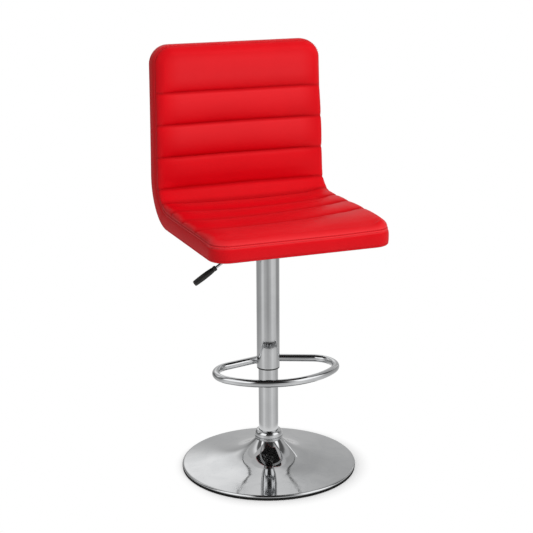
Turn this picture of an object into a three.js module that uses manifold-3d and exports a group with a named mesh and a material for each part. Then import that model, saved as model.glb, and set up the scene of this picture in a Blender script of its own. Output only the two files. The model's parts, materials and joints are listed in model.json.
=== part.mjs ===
import * as THREE from 'three';
import { mergeVertices, toCreasedNormals } from 'three/addons/utils/BufferGeometryUtils.js';
import Module from 'manifold-3d';

// Adjustable swivel stool with an L-shaped upholstered seat on a gas lift and a trumpet base.
// Millimetres, +Z up, the sitter faces -Y, origin on the column axis at floor level.
// The seat is drawn at its lowest height.

// ---- clearances ---------------------------------------------------------------------------
const fit = 0.3;                   // between neighbours that touch, press or slide
const leverPlay = 0.6;             // round the lever rod in its bush
const bottomingGap = 4;            // between guide bush and sleeve cap at the lowest height

// ---- base ---------------------------------------------------------------------------------
const baseRadius = 192.5;
const floorRingHeight = 4;
const floorRingSetback = 0.5;
const floorRingLedge = 9;
const shellWall = 1.5;
const lipCover = 1.7;
const lipRounding = 5;
const lipHem = 1.6;
const lipTurn = 60;                // degrees the lip rolls over before the cone starts
const coneRise = 54;
const coneToe = 0.37;
const coneSweep = 4.5;
const neckHeight = 3;
const ballastThickness = 5;
const ballastMargin = 12;
const socketWall = 5.7;
const socketHeight = 61;
const socketLedge = 5.1;
const socketFlangeWidth = 17.5;
const socketFlangeThickness = 3;
const collarHeight = 17.7;
const collarOverhang = 1.8;
const collarSkirt = 5;
const collarTopRim = 1.2;

// ---- column -------------------------------------------------------------------------------
const tubeRadius = 21.5;
const tubeWall = 1.5;
const tubeFloor = 3;
const bushLength = 50;
const bushFlange = 2;
const sleeveRadius = 25;
const sleeveWall = 1.2;
const sleeveLength = 251;
const sleeveBushLip = 2.7;
const sleeveBushDepth = 20;
const capFlange = 1.7;
const capSpigot = 10;
const capWall = 3;

// ---- thrust bearing -----------------------------------------------------------------------
const raceThickness = 2;
const raceInset = 0.7;
const ballRadius = 2.5;
const ballCount = 8;
const cageThickness = 1.6;
const cageWidth = 8;

// ---- gas lift -----------------------------------------------------------------------------
const liftTravel = 210;
const rodRadius = 5;
const rodNeckRadius = 4;
const rodTipRadius = 3;
const rodTail = 1.2;
const clipThickness = 1.4;
const clipWidth = 4;
const clipGap = 50;                // degrees
const clipSeat = 1;
const tailWasherRadius = 9;
const tailWasherThickness = 1.5;
const bumpStopLength = 36.5;
const bumpStopWall = 7;
const cylinderRadius = 14;
const cylinderWall = 1.5;
const cylinderLength = 450;
const cylinderEnd = 10;
const taperEngagement = 23.7;
const taperDrop = 1;
const glandHeight = 12;
const pistonHeight = 10;
const pistonGroove = 1.2;
const pistonReserve = 5;
const pistonNutHeight = 5;
const pistonNutRadius = 5.8;
const valveRadius = 4;
const valveProud = 3.6;
const valveDepth = 5;

// ---- footrest -----------------------------------------------------------------------------
const footrestBar = 8;             // bar radius
const footrestWall = 1.2;
const footrestRise = 13;
const footrestReach = 149;
const footrestFrontRadius = 162;
const footrestCorner = 52;
const footrestSweep = 18;          // degrees
const footrestYaw = -6.2;          // degrees

// ---- seat mechanism -----------------------------------------------------------------------
const hubWall = 5;
const hubFlangeWidth = 4;
const hubFlangeThickness = 3;
const hubShortfall = 1;
const channelHalfWidth = 35;
const channelLength = 60;
const channelWall = 2.5;
const channelBend = 4;
const leverHeadroom = 11;
const plateWidth = 170;
const plateLength = 120;
const plateThickness = 2.5;
const plateRim = 6;
const plateCorner = 15;
const boltSpacingX = 124;
const boltSpacingY = 84;
const boltRadius = 4;
const boltHeadRadius = 7.5;
const boltHeadHeight = 5.3;
const boltWasherRadius = 9;
const boltWasherThickness = 1.6;
const teeNutWall = 1.5;
const teeNutFlangeRadius = 10;
const teeNutFlangeThickness = 1.6;
const teeNutSetback = 2;

// ---- lever --------------------------------------------------------------------------------
const leverRadius = 3;
const leverGap = 0.4;
const leverOverrun = 3;
const leverElbow = 6.5;
const leverBendRadius = 12;
const leverDrop = 32;              // degrees
const leverLength = 90.5;
const leverBushWall = 2.2;
const leverBushFlange = 2;
const leverBushThickness = 2.2;
const gripLength = 58;
const gripRadiusNear = 5.4;
const gripRadiusBelly = 6.8;
const gripRadiusFar = 6.3;
const gripRounding = 1.6;
const gripHold = 45;

// ---- seat ---------------------------------------------------------------------------------
const seatWidth = 392.3;
const seatOverhang = 210.3;
const seatRun = 307.2;
const seatCorner = 38;
const bendRadius = 53;
const backRise = 285.6;
const backLean = 2.4;              // degrees gained by the gentle curve of the back
const backTaper = 4;
const coverThickness = 1.5;
const foamThickness = 26.9;
const boardThickness = 12;
const backPanelThickness = 8;
const cushionTopRounding = 14;
const cushionUnderRounding = 7;
const boardInset = 14;
const boardRounding = 1.5;
const backPanelInset = 12;
const backPanelRounding = 2;
const panelJointTurn = 52;         // how far round the bend the black panel goes, in degrees

// ---- facets -------------------------------------------------------------------------------
const baseFacets = 44;
const tubeFacets = 28;
const coreFacets = 20;
const smallFacets = 12;

// ---- levels worked up from the floor ------------------------------------------------------
const shellBottom = floorRingHeight + fit;
const coneFoot = shellBottom + ballastThickness + lipCover;
const neckTop = coneFoot + coneRise + neckHeight;
const ballastTop = shellBottom + ballastThickness;
const socketBottom = shellBottom + fit;
const ledgeTop = socketBottom + socketLedge;
const tubeBottom = ledgeTop + fit;
const raceBottom = tubeBottom + tubeFloor + fit;
const ballCentre = raceBottom + raceThickness + fit + ballRadius;
const upperRaceBottom = ballCentre + ballRadius + fit;
const rodShoulder = upperRaceBottom + raceThickness + fit;
const cylinderBottom = rodShoulder + bumpStopLength + fit;
const glandBottom = cylinderBottom + cylinderWall + fit;
const pistonBottom = glandBottom + glandHeight + liftTravel + pistonReserve;
const cylinderTop = cylinderBottom + cylinderLength;
const hubBottom = cylinderTop - taperEngagement;
const sleeveTop = hubBottom - fit - capFlange - fit;
const sleeveBottom = sleeveTop - sleeveLength;
const tubeTop = sleeveTop - capSpigot - bottomingGap - bushFlange - fit;
const leverHeight = cylinderTop + valveProud + leverGap + leverRadius;
const plateBottom = leverHeight + leverRadius + leverHeadroom;
const plateTop = plateBottom + plateThickness;
const foamDepth = coverThickness + fit;
const boardDepth = foamDepth + foamThickness + fit;
const backPanelDepth = boardDepth + boardThickness + fit;
const seatThickness = backPanelDepth + backPanelThickness;
const seatTop = plateTop + fit + seatThickness;

// ---- radii and depths that several pieces share -------------------------------------------
const tubeBore = tubeRadius - tubeWall;
const socketRadius = tubeRadius + fit + socketWall;
const neckRadius = socketRadius + fit + shellWall;
const collarRadius = neckRadius + collarOverhang;
const shellBore = baseRadius - shellWall;
const ballastRadius = shellBore - ballastMargin;
const cylinderBore = cylinderRadius - cylinderWall;
const cylinderTip = cylinderRadius - taperDrop;
const sleeveBore = sleeveRadius - sleeveWall;
const hubRadius = cylinderRadius + fit + hubWall;
const boardTop = seatTop - boardDepth;
const boardBottom = boardTop - boardThickness;
const degrees = Math.PI / 180;

// ---- solids -------------------------------------------------------------------------------
const wasm = await Module();
wasm.setup();

// Shared corners joined and collapsed facets dropped, so the surface is one closed skin.
function welded(geometry) {
  const bare = geometry.clone();
  for (const name of Object.keys(bare.attributes)) {
    if (name !== 'position') bare.deleteAttribute(name);
  }
  const merged = mergeVertices(bare);
  const index = merged.index.array;
  const kept = [];
  for (let i = 0; i < index.length; i += 3) {
    const [a, b, c] = [index[i], index[i + 1], index[i + 2]];
    if (a !== b && b !== c && c !== a) kept.push(a, b, c);
  }
  merged.setIndex(kept);
  return merged;
}

function solidOf(geometry) {
  const skin = welded(geometry);
  return new wasm.Manifold(new wasm.Mesh({
    numProp: 3,
    vertProperties: new Float32Array(skin.attributes.position.array),
    triVerts: new Uint32Array(skin.index.array),
  }));
}

function geometryOf(solid) {
  const mesh = solid.getMesh();
  const geometry = new THREE.BufferGeometry();
  geometry.setAttribute('position', new THREE.BufferAttribute(mesh.vertProperties, 3));
  geometry.setIndex(new THREE.BufferAttribute(mesh.triVerts, 1));
  return geometry;
}

function cut(geometry, ...tools) {
  return geometryOf(tools.reduce((solid, tool) => solid.subtract(solidOf(tool)), solidOf(geometry)));
}

function joined(geometry, ...others) {
  return geometryOf(others.reduce((solid, other) => solid.add(solidOf(other)), solidOf(geometry)));
}

// A closed loop of [radius, height] corners turned about Z. A loop that touches the axis
// begins and ends there.
function turned(corners, facets) {
  const loop = corners.map(([radius, height]) => new THREE.Vector2(radius, height));
  if (THREE.ShapeUtils.isClockWise(loop)) loop.reverse();
  if (corners.every(([radius]) => radius > 0)) loop.push(loop[0].clone());
  return new THREE.LatheGeometry(loop, facets).rotateX(Math.PI / 2);
}

function ring(inner, outer, bottom, height, facets) {
  const top = bottom + height;
  return turned([[inner, bottom], [outer, bottom], [outer, top], [inner, top]], facets);
}

function rod(radius, bottom, height, facets) {
  const top = bottom + height;
  return turned([[0, bottom], [radius, bottom], [radius, top], [0, top]], facets);
}

// Corners along an ellipse quarter or other sweep, angles in degrees.
function sweepCorners(centre, radii, from, to, steps) {
  const corners = [];
  for (let i = 0; i <= steps; i += 1) {
    const angle = (from + (to - from) * i / steps) * degrees;
    corners.push([centre[0] + radii[0] * Math.cos(angle), centre[1] + radii[1] * Math.sin(angle)]);
  }
  return corners;
}

function pushed(shape, depth, curveSegments = 4) {
  return new THREE.ExtrudeGeometry(shape, { depth, bevelEnabled: false, curveSegments });
}

function roundedRectangle(width, length, corner) {
  const [x, y] = [width / 2 - corner, length / 2 - corner];
  const shape = new THREE.Shape();
  shape.absarc(x, y, corner, 0, Math.PI / 2);
  shape.absarc(-x, y, corner, Math.PI / 2, Math.PI);
  shape.absarc(-x, -y, corner, Math.PI, 1.5 * Math.PI);
  shape.absarc(x, -y, corner, 1.5 * Math.PI, 2 * Math.PI);
  return shape;
}

// ---- finishes -----------------------------------------------------------------------------
const finish = (color, roughness, metalness) => () => (
  new THREE.MeshStandardMaterial({ color, roughness, metalness })
);
const chrome = finish(0xc8cacd, 0.07, 1);
const satinChrome = finish(0xa9abae, 0.22, 1);
const bareSteel = finish(0x8c8e90, 0.4, 1);
const zincSteel = finish(0xb4b6b2, 0.35, 1);
const blackSteel = finish(0x1d1d1f, 0.45, 0.4);
const blackPlastic = finish(0x1b1a19, 0.5, 0);
const blackRubber = finish(0x161616, 0.85, 0);
const plywood = finish(0xc09a66, 0.75, 0);
const redLeather = finish(0xd9161f, 0.42, 0);
const paleFoam = finish(0xe6dfc8, 0.9, 0);
const blackFelt = finish(0x191919, 0.95, 0);

const creaseAngle = 35 * degrees;

function piece(name, geometry, makeFinish) {
  const mesh = new THREE.Mesh(toCreasedNormals(welded(geometry), creaseAngle), makeFinish());
  mesh.name = name;
  return mesh;
}

// ---- base ---------------------------------------------------------------------------------
// The trumpet: nearly flat at the rim, sweeping up ever faster to the neck.
const coneRadius = baseRadius - lipRounding;
const coneSpan = coneRadius - neckRadius;

function conePoint(u, depth) {
  const rise = coneRise * (coneToe * u + (1 - coneToe) * u ** coneSweep);
  const slope = coneRise * (coneToe + (1 - coneToe) * coneSweep * u ** (coneSweep - 1));
  const length = Math.hypot(slope, coneSpan);
  return [
    coneRadius - coneSpan * u - depth * slope / length,
    coneFoot + rise - depth * coneSpan / length,
  ];
}

function coneSide(depth, steps) {
  const corners = [];
  for (let i = 0; i <= steps; i += 1) corners.push(conePoint((i / steps) ** 0.6, depth));
  return corners;
}

function baseShell() {
  const underside = coneSide(shellWall, 4);
  const neckBore = neckRadius - shellWall;
  const [lastRadius, lastHeight] = underside[underside.length - 1];
  const neckSlope = coneRise * (coneToe + (1 - coneToe) * coneSweep) / coneSpan;
  const boreFoot = lastHeight + (lastRadius - neckBore) * neckSlope;
  return turned([
    [shellBore, shellBottom],
    ...sweepCorners([baseRadius - lipHem / 2, shellBottom + lipHem / 2],
      [lipHem / 2, lipHem / 2], -90, 0, 1),
    ...sweepCorners([coneRadius, coneFoot - lipRounding], [lipRounding, lipRounding], 0, lipTurn, 3),
    ...coneSide(0, 8),
    [neckRadius, neckTop],
    [neckBore, neckTop],
    [neckBore, boreFoot],
    ...underside.reverse(),
  ], baseFacets);
}

function baseSocket() {
  const tailRoom = tailWasherRadius + fit + clipSeat;
  const flangeBottom = ballastTop + fit;
  const flangeTop = flangeBottom + socketFlangeThickness;
  const flangeRadius = socketRadius + socketFlangeWidth;
  const bore = tubeRadius + fit;
  return turned([
    [tailRoom, socketBottom],
    [socketRadius, socketBottom],
    [socketRadius, flangeBottom],
    [flangeRadius, flangeBottom],
    [flangeRadius, flangeTop],
    [socketRadius, flangeTop],
    [socketRadius, socketBottom + socketHeight],
    [bore, socketBottom + socketHeight],
    [bore, ledgeTop],
    [tailRoom, ledgeTop],
  ], coreFacets);
}

function baseCollar() {
  const bottom = neckTop + fit;
  const bore = tubeRadius + fit;
  const crown = [bore + collarTopRim, bottom + collarSkirt];
  return turned([
    [bore, bottom],
    [collarRadius - collarTopRim, bottom],
    [collarRadius, bottom + collarTopRim],
    ...sweepCorners(crown, [collarRadius - crown[0], collarHeight - collarSkirt], 0, 90, 5),
    [bore, bottom + collarHeight],
  ], tubeFacets);
}

function buildBase() {
  const group = new THREE.Group();
  const ringBore = ballastRadius - floorRingLedge;
  const ringRadius = baseRadius - floorRingSetback;
  group.add(
    piece('floor_ring', ring(ringBore, ringRadius, 0, floorRingHeight, baseFacets), blackRubber),
    piece('base_shell', baseShell(), chrome),
    piece('ballast_plate',
      ring(socketRadius + fit, ballastRadius, shellBottom, ballastThickness, baseFacets), bareSteel),
    piece('base_socket', baseSocket(), bareSteel),
    piece('base_collar', baseCollar(), chrome),
  );
  return group;
}

// ---- stand tube and thrust bearing --------------------------------------------------------
function standTube() {
  const floorTop = tubeBottom + tubeFloor;
  const rodHole = rodNeckRadius + fit;
  return turned([
    [rodHole, tubeBottom],
    [tubeRadius, tubeBottom],
    [tubeRadius, tubeTop],
    [tubeBore, tubeTop],
    [tubeBore, floorTop],
    [rodHole, floorTop],
  ], tubeFacets);
}

function guideBush() {
  const flangeBottom = tubeTop + fit;
  const bore = cylinderRadius + fit;
  const skirt = tubeBore - fit;
  return turned([
    [bore, tubeTop - bushLength],
    [skirt, tubeTop - bushLength],
    [skirt, flangeBottom],
    [tubeRadius - fit, flangeBottom],
    [tubeRadius - fit, flangeBottom + bushFlange],
    [bore, flangeBottom + bushFlange],
  ], coreFacets);
}

const raceRadius = tubeBore - raceInset;
const raceHole = rodNeckRadius + fit;

function bearingRace(name, bottom) {
  return piece(name, ring(raceHole, raceRadius, bottom, raceThickness, coreFacets), bareSteel);
}

function ballCage() {
  const pitch = (raceHole + raceRadius) / 2;
  const plate = ring(pitch - cageWidth / 2, pitch + cageWidth / 2,
    ballCentre - cageThickness / 2, cageThickness, coreFacets);
  const balls = Array.from({ length: ballCount }, (_, i) => {
    const angle = 2 * Math.PI * i / ballCount;
    return new THREE.SphereGeometry(ballRadius, 8, 4).rotateX(Math.PI / 2)
      .translate(pitch * Math.cos(angle), pitch * Math.sin(angle), ballCentre);
  });
  return piece('ball_cage', joined(plate, ...balls), bareSteel);
}

function buildColumn() {
  const group = new THREE.Group();
  group.add(
    piece('stand_tube', standTube(), satinChrome),
    piece('guide_bush', guideBush(), blackPlastic),
    bearingRace('lower_race', raceBottom),
    ballCage(),
  );
  return group;
}

// ---- gas lift -----------------------------------------------------------------------------
const tailWasherTop = tubeBottom - fit;
const clipTop = tailWasherTop - tailWasherThickness - fit;
const clipBottom = clipTop - clipThickness;
const pistonTop = pistonBottom + pistonHeight;
const nutBottom = pistonTop + fit;

function pistonRod() {
  const grooveRadius = rodNeckRadius - clipSeat;
  const grooveBottom = clipBottom - fit;
  const grooveTop = clipTop + fit / 2;
  const pinTop = nutBottom + pistonNutHeight + rodTail;
  return turned([
    [0, grooveBottom - rodTail],
    [rodNeckRadius, grooveBottom - rodTail],
    [rodNeckRadius, grooveBottom],
    [grooveRadius, grooveBottom],
    [grooveRadius, grooveTop],
    [rodNeckRadius, grooveTop],
    [rodNeckRadius, rodShoulder],
    [rodRadius, rodShoulder],
    [rodRadius, pistonBottom - fit],
    [rodTipRadius, pistonBottom - fit],
    [rodTipRadius, pinTop],
    [0, pinTop],
  ], smallFacets);
}

function rodClip() {
  const inner = rodNeckRadius - clipSeat + fit;
  const half = clipGap / 2 * degrees;
  const shape = new THREE.Shape();
  shape.absarc(0, 0, inner + clipWidth, half, 2 * Math.PI - half);
  shape.absarc(0, 0, inner, 2 * Math.PI - half, half, true);
  return pushed(shape, clipThickness, 9).translate(0, 0, clipBottom);
}

function piston() {
  const outer = cylinderBore - fit;
  const third = pistonHeight / 3;
  return turned([
    [rodTipRadius + fit, pistonBottom],
    [outer, pistonBottom],
    [outer, pistonBottom + third],
    [outer - pistonGroove, pistonBottom + third],
    [outer - pistonGroove, pistonTop - third],
    [outer, pistonTop - third],
    [outer, pistonTop],
    [rodTipRadius + fit, pistonTop],
  ], coreFacets);
}

function hexNut(bore, radius, bottom, height) {
  return cut(new THREE.CylinderGeometry(radius, radius, height, 6).rotateX(Math.PI / 2)
    .translate(0, 0, bottom + height / 2), rod(bore, bottom - 1, height + 2, smallFacets));
}

function buildSpindle() {
  const group = new THREE.Group();
  const washerBottom = tailWasherTop - tailWasherThickness;
  group.add(
    piece('piston_rod', pistonRod(), chrome),
    piece('rod_clip', rodClip(), bareSteel),
    piece('rod_washer', ring(rodNeckRadius + fit, tailWasherRadius, washerBottom,
      tailWasherThickness, smallFacets), zincSteel),
    bearingRace('upper_race', upperRaceBottom),
    piece('bump_stop', ring(rodRadius + fit, rodRadius + fit + bumpStopWall, rodShoulder,
      bumpStopLength, smallFacets), blackRubber),
    piece('piston', piston(), blackPlastic),
    piece('piston_nut', hexNut(rodTipRadius + fit, pistonNutRadius, nutBottom, pistonNutHeight),
      zincSteel),
  );
  return group;
}

function gasCylinder() {
  const valveBore = valveRadius + fit;
  const endBottom = cylinderTop - cylinderEnd;
  const lip = rodRadius + fit + clipSeat;
  const lipTop = cylinderBottom + cylinderWall;
  return turned([
    [lip, cylinderBottom],
    [cylinderRadius, cylinderBottom],
    [cylinderRadius, hubBottom],
    [cylinderTip, cylinderTop],
    [valveBore, cylinderTop],
    [valveBore, endBottom],
    [cylinderBore, endBottom],
    [cylinderBore, lipTop],
    [lip, lipTop],
  ], coreFacets);
}

function cylinderGland() {
  return ring(rodRadius + fit, cylinderBore - fit, glandBottom, glandHeight, coreFacets);
}

function valveButton() {
  const top = cylinderTop + valveProud;
  return turned([
    [0, cylinderTop - valveDepth],
    [valveRadius, cylinderTop - valveDepth],
    [valveRadius, top - valveRadius / 4],
    [valveRadius * 0.75, top],
    [0, top],
  ], smallFacets);
}

// ---- sleeve and footrest ------------------------------------------------------------------
function sleeveBush() {
  const bore = tubeRadius + fit;
  const skirt = sleeveBore - fit;
  const lipTop = sleeveBottom - fit;
  return turned([
    [bore, lipTop - sleeveBushLip],
    [sleeveRadius - fit, lipTop - sleeveBushLip],
    [sleeveRadius - fit, lipTop],
    [skirt, lipTop],
    [skirt, lipTop + sleeveBushDepth],
    [bore, lipTop + sleeveBushDepth],
  ], tubeFacets);
}

function sleeveCap() {
  const flangeBottom = sleeveTop + fit;
  const bore = cylinderRadius + fit;
  const spigot = sleeveBore - fit;
  return turned([
    [spigot - capWall, sleeveTop - capSpigot],
    [spigot, sleeveTop - capSpigot],
    [spigot, flangeBottom],
    [sleeveRadius, flangeBottom],
    [sleeveRadius, flangeBottom + capFlange],
    [bore, flangeBottom + capFlange],
    [bore, sleeveTop - capFlange],
    [spigot - capWall, sleeveTop - capFlange],
  ], coreFacets);
}

// A flat path lifted into space for an extrusion to follow.
class LevelCurve extends THREE.Curve {
  constructor(path) {
    super();
    this.path = path;
  }

  getPoint(t) {
    const { x, y } = this.path.getPoint(t);
    return new THREE.Vector3(x, y, 0);
  }
}

// The D-shaped loop: two bars that leave the sleeve flush with its sides, a fillet each, and a
// broad arc in front. The fillet circles touch the bars and the front arc.
function footrestPath() {
  const sweep = footrestSweep * degrees;
  const along = new THREE.Vector2(Math.cos(sweep), -Math.sin(sweep));
  const inward = new THREE.Vector2(-Math.sin(sweep), -Math.cos(sweep));
  const barOffset = sleeveRadius - footrestBar;
  const start = inward.clone().multiplyScalar(-barOffset);
  const frontCentre = new THREE.Vector2(0, footrestFrontRadius - footrestReach);
  const toFillet = start.clone().addScaledVector(inward, footrestCorner).sub(frontCentre);
  const span = footrestFrontRadius - footrestCorner;
  const lead = toFillet.dot(along);
  const barLength = -lead + Math.sqrt(lead ** 2 - toFillet.lengthSq() + span ** 2);
  const fillet = toFillet.clone().add(frontCentre).addScaledVector(along, barLength);
  const filletStart = Math.atan2(-inward.y, -inward.x);
  const filletEnd = fillet.clone().sub(frontCentre).angle() - 2 * Math.PI;
  const barEnd = start.clone().addScaledVector(along, barLength);
  const path = new THREE.Path();
  path.moveTo(start.x, start.y);
  path.lineTo(barEnd.x, barEnd.y);
  path.absarc(fillet.x, fillet.y, footrestCorner, filletStart, filletEnd, true);
  path.absarc(0, frontCentre.y, footrestFrontRadius, filletEnd, -Math.PI - filletEnd, true);
  path.absarc(-fillet.x, fillet.y, footrestCorner, -Math.PI - filletEnd,
    -Math.PI - filletStart, true);
  path.lineTo(-start.x, start.y);
  return new LevelCurve(path);
}

function footrest() {
  const section = new THREE.Shape();
  section.absarc(0, 0, footrestBar, 0, 2 * Math.PI);
  const bore = new THREE.Path();
  bore.absarc(0, 0, footrestBar - footrestWall, 0, 2 * Math.PI, true);
  section.holes.push(bore);
  const loop = new THREE.ExtrudeGeometry(section, {
    steps: 36, curveSegments: 5, bevelEnabled: false, extrudePath: footrestPath(),
  });
  const sleeveRoom = rod(sleeveRadius + fit, -2 * footrestBar, 4 * footrestBar, tubeFacets);
  return cut(loop, sleeveRoom);
}

function buildSleeve() {
  const group = new THREE.Group();
  const loop = piece('footrest', footrest(), chrome);
  loop.position.z = sleeveBottom + footrestRise;
  loop.rotation.z = footrestYaw * degrees;
  group.add(
    piece('sleeve', ring(sleeveBore, sleeveRadius, sleeveBottom, sleeveLength, tubeFacets),
      satinChrome),
    piece('sleeve_bush', sleeveBush(), blackPlastic),
    piece('sleeve_cap', sleeveCap(), blackPlastic),
    loop,
    piece('gas_cylinder', gasCylinder(), blackSteel),
    piece('cylinder_gland', cylinderGland(), blackPlastic),
  );
  return group;
}

// ---- seat mechanism -----------------------------------------------------------------------
const webBottom = hubBottom + hubFlangeThickness + fit;
const boltPlaces = [[-1, -1], [1, -1], [1, 1], [-1, 1]]
  .map(([x, y]) => [x * boltSpacingX / 2, y * boltSpacingY / 2]);
const leverBushRadius = leverRadius + leverPlay + leverBushWall;

function taperHub() {
  const flangeTop = hubBottom + hubFlangeThickness;
  const top = cylinderTop - hubShortfall;
  const boreTop = cylinderTip + fit + taperDrop * hubShortfall / taperEngagement;
  return turned([
    [cylinderRadius + fit, hubBottom],
    [hubRadius + hubFlangeWidth, hubBottom],
    [hubRadius + hubFlangeWidth, flangeTop],
    [hubRadius, flangeTop],
    [hubRadius, top],
    [boreTop, top],
  ], coreFacets);
}

// A folded channel, open at both ends, that hangs under the seat plate.
function channel() {
  const top = plateBottom - fit;
  const inner = channelHalfWidth - channelWall;
  const innerBend = channelBend - channelWall;
  const shape = new THREE.Shape();
  shape.moveTo(channelHalfWidth, top);
  shape.lineTo(inner, top);
  shape.absarc(inner - innerBend, webBottom + channelBend, innerBend, 0, -Math.PI / 2, true);
  shape.absarc(innerBend - inner, webBottom + channelBend, innerBend, -Math.PI / 2, -Math.PI, true);
  shape.lineTo(-inner, top);
  shape.lineTo(-channelHalfWidth, top);
  shape.absarc(channelBend - channelHalfWidth, webBottom + channelBend, channelBend,
    Math.PI, 1.5 * Math.PI);
  shape.absarc(channelHalfWidth - channelBend, webBottom + channelBend, channelBend,
    1.5 * Math.PI, 2 * Math.PI);
  const folded = pushed(shape, channelLength, 4).rotateX(Math.PI / 2)
    .translate(0, channelLength / 2, 0);
  const hubHole = rod(hubRadius + fit, webBottom - channelWall, 3 * channelWall, coreFacets);
  const bushHole = rod(leverBushRadius + fit, -channelWall, 3 * channelWall, smallFacets)
    .rotateY(Math.PI / 2).translate(-channelHalfWidth, 0, leverHeight);
  return cut(folded, hubHole, bushHole);
}

function seatPlate() {
  const sheet = roundedRectangle(plateWidth, plateLength, plateCorner);
  for (const [x, y] of boltPlaces) {
    const hole = new THREE.Path();
    hole.absarc(x, y, boltRadius + fit, 0, 2 * Math.PI, true);
    sheet.holes.push(hole);
  }
  const rim = roundedRectangle(plateWidth, plateLength, plateCorner);
  rim.holes.push(roundedRectangle(plateWidth - 2 * plateThickness,
    plateLength - 2 * plateThickness, plateCorner - plateThickness));
  const rimDepth = plateRim + plateThickness;
  return joined(pushed(sheet, plateThickness).translate(0, 0, plateBottom),
    pushed(rim, rimDepth).translate(0, 0, plateTop - rimDepth));
}

function seatBolt(headTop, tip) {
  const head = new THREE.CylinderGeometry(boltHeadRadius, boltHeadRadius, boltHeadHeight, 6)
    .rotateX(Math.PI / 2).translate(0, 0, headTop - boltHeadHeight / 2);
  const shankBottom = headTop - boltHeadHeight / 2;
  return joined(head, rod(boltRadius, shankBottom, tip - shankBottom, 12));
}

const teeNutBore = boltRadius + fit;
const teeNutBarrel = teeNutBore + teeNutWall;
const teeNutTop = boardTop - fit;

function teeNut() {
  const flangeBottom = teeNutTop - teeNutFlangeThickness;
  return turned([
    [teeNutBore, boardBottom + teeNutSetback],
    [teeNutBarrel, boardBottom + teeNutSetback],
    [teeNutBarrel, flangeBottom],
    [teeNutFlangeRadius, flangeBottom],
    [teeNutFlangeRadius, teeNutTop],
    [teeNutBore, teeNutTop],
  ], 12);
}

function fasteners() {
  const washerTop = plateBottom - fit;
  const headTop = washerTop - boltWasherThickness - fit;
  return boltPlaces.flatMap(([x, y], i) => {
    const washer = ring(teeNutBore, boltWasherRadius, washerTop - boltWasherThickness,
      boltWasherThickness, 12);
    const set = [
      piece(`seat_bolt_${i + 1}`, seatBolt(headTop, teeNutTop - teeNutSetback), zincSteel),
      piece(`bolt_washer_${i + 1}`, washer, zincSteel),
      piece(`tee_nut_${i + 1}`, teeNut(), zincSteel),
    ];
    for (const mesh of set) mesh.position.set(x, y, 0);
    return set;
  });
}

function leverBush() {
  const inside = channelWall + leverBushFlange;
  const bore = leverRadius + leverPlay;
  return turned([
    [bore, -leverBushThickness - fit],
    [leverBushRadius + leverBushFlange, -leverBushThickness - fit],
    [leverBushRadius + leverBushFlange, -fit],
    [leverBushRadius, -fit],
    [leverBushRadius, inside],
    [bore, inside],
  ], smallFacets).rotateY(Math.PI / 2).translate(-channelHalfWidth, 0, leverHeight);
}

function buildMechanism() {
  const group = new THREE.Group();
  group.add(
    piece('taper_hub', taperHub(), bareSteel),
    piece('mechanism_channel', channel(), blackSteel),
    piece('seat_plate', seatPlate(), blackSteel),
    piece('lever_bush', leverBush(), blackPlastic),
    ...fasteners(),
  );
  return group;
}

// ---- lever --------------------------------------------------------------------------------
// The rod runs level over the valve button and through its bush, then bends down to the grip.
const leverElbowX = -channelHalfWidth - leverElbow;

function leverPath() {
  const drop = leverDrop * degrees;
  const tangent = leverBendRadius * Math.tan(drop / 2);
  const bendStart = leverElbowX + tangent;
  const tip = leverLength + gripHold;
  const path = new THREE.Path();
  path.moveTo(leverOverrun, 0);
  path.lineTo(bendStart, 0);
  path.absarc(bendStart, -leverBendRadius, leverBendRadius, Math.PI / 2, Math.PI / 2 + drop);
  path.lineTo(leverElbowX - tip * Math.cos(drop), -tip * Math.sin(drop));
  return new LevelCurve(path);
}

function leverRod() {
  const section = new THREE.Shape();
  section.absarc(0, 0, leverRadius, 0, 2 * Math.PI);
  return new THREE.ExtrudeGeometry(section, {
    steps: 30, curveSegments: 4, bevelEnabled: false, extrudePath: leverPath(),
  }).rotateX(Math.PI / 2).translate(0, 0, leverHeight);
}

function leverGrip() {
  const bore = leverRadius + fit;
  const shoulder = gripRadiusNear + gripRounding / 4;
  const waist = gripRadiusNear - gripRounding / 8;
  return turned([
    [0, gripHold + fit],
    [bore, gripHold + fit],
    [bore, 0],
    [shoulder - gripRounding, 0],
    [shoulder, gripRounding],
    [shoulder, gripLength / 10],
    [waist, gripLength / 6],
    [(waist + gripRadiusBelly) / 2, gripLength / 3],
    [gripRadiusBelly, gripLength * 0.6],
    ...sweepCorners([gripRadiusFar - gripRounding, gripLength - gripRounding],
      [gripRounding, gripRounding], 0, 90, 3),
    [0, gripLength],
  ], smallFacets);
}

function buildLever() {
  const group = new THREE.Group();
  const drop = leverDrop * degrees;
  const grip = piece('lever_grip', leverGrip(), blackPlastic);
  grip.position.set(leverElbowX - leverLength * Math.cos(drop), 0,
    leverHeight - leverLength * Math.sin(drop));
  grip.rotation.y = -Math.PI / 2 - drop;
  group.add(piece('lever_rod', leverRod(), chrome), grip);
  return group;
}

// ---- seat ---------------------------------------------------------------------------------
// The line of the sitting surface, seen from the side: a level run from the front edge, the
// bend, then the back with its slow rearward curve. Depth is measured behind this line.
const bendAngle = Math.PI / 2;
const bendLength = bendRadius * bendAngle;
const seatLength = seatRun + bendLength + backRise;

function seatPoint(along, depth) {
  const flat = Math.min(along, seatRun);
  const turn = THREE.MathUtils.clamp((along - seatRun) / bendRadius, 0, bendAngle);
  const climb = Math.max(along - seatRun - bendLength, 0);
  const curvature = backLean * degrees / backRise;
  const lean = climb * curvature;
  const angle = turn - lean;
  const y = -seatOverhang + flat + bendRadius * Math.sin(turn) + climb * lean / 2;
  const z = seatTop + bendRadius * (1 - Math.cos(turn)) + climb;
  return [y + depth * Math.sin(angle), z - depth * Math.cos(angle)];
}

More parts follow.
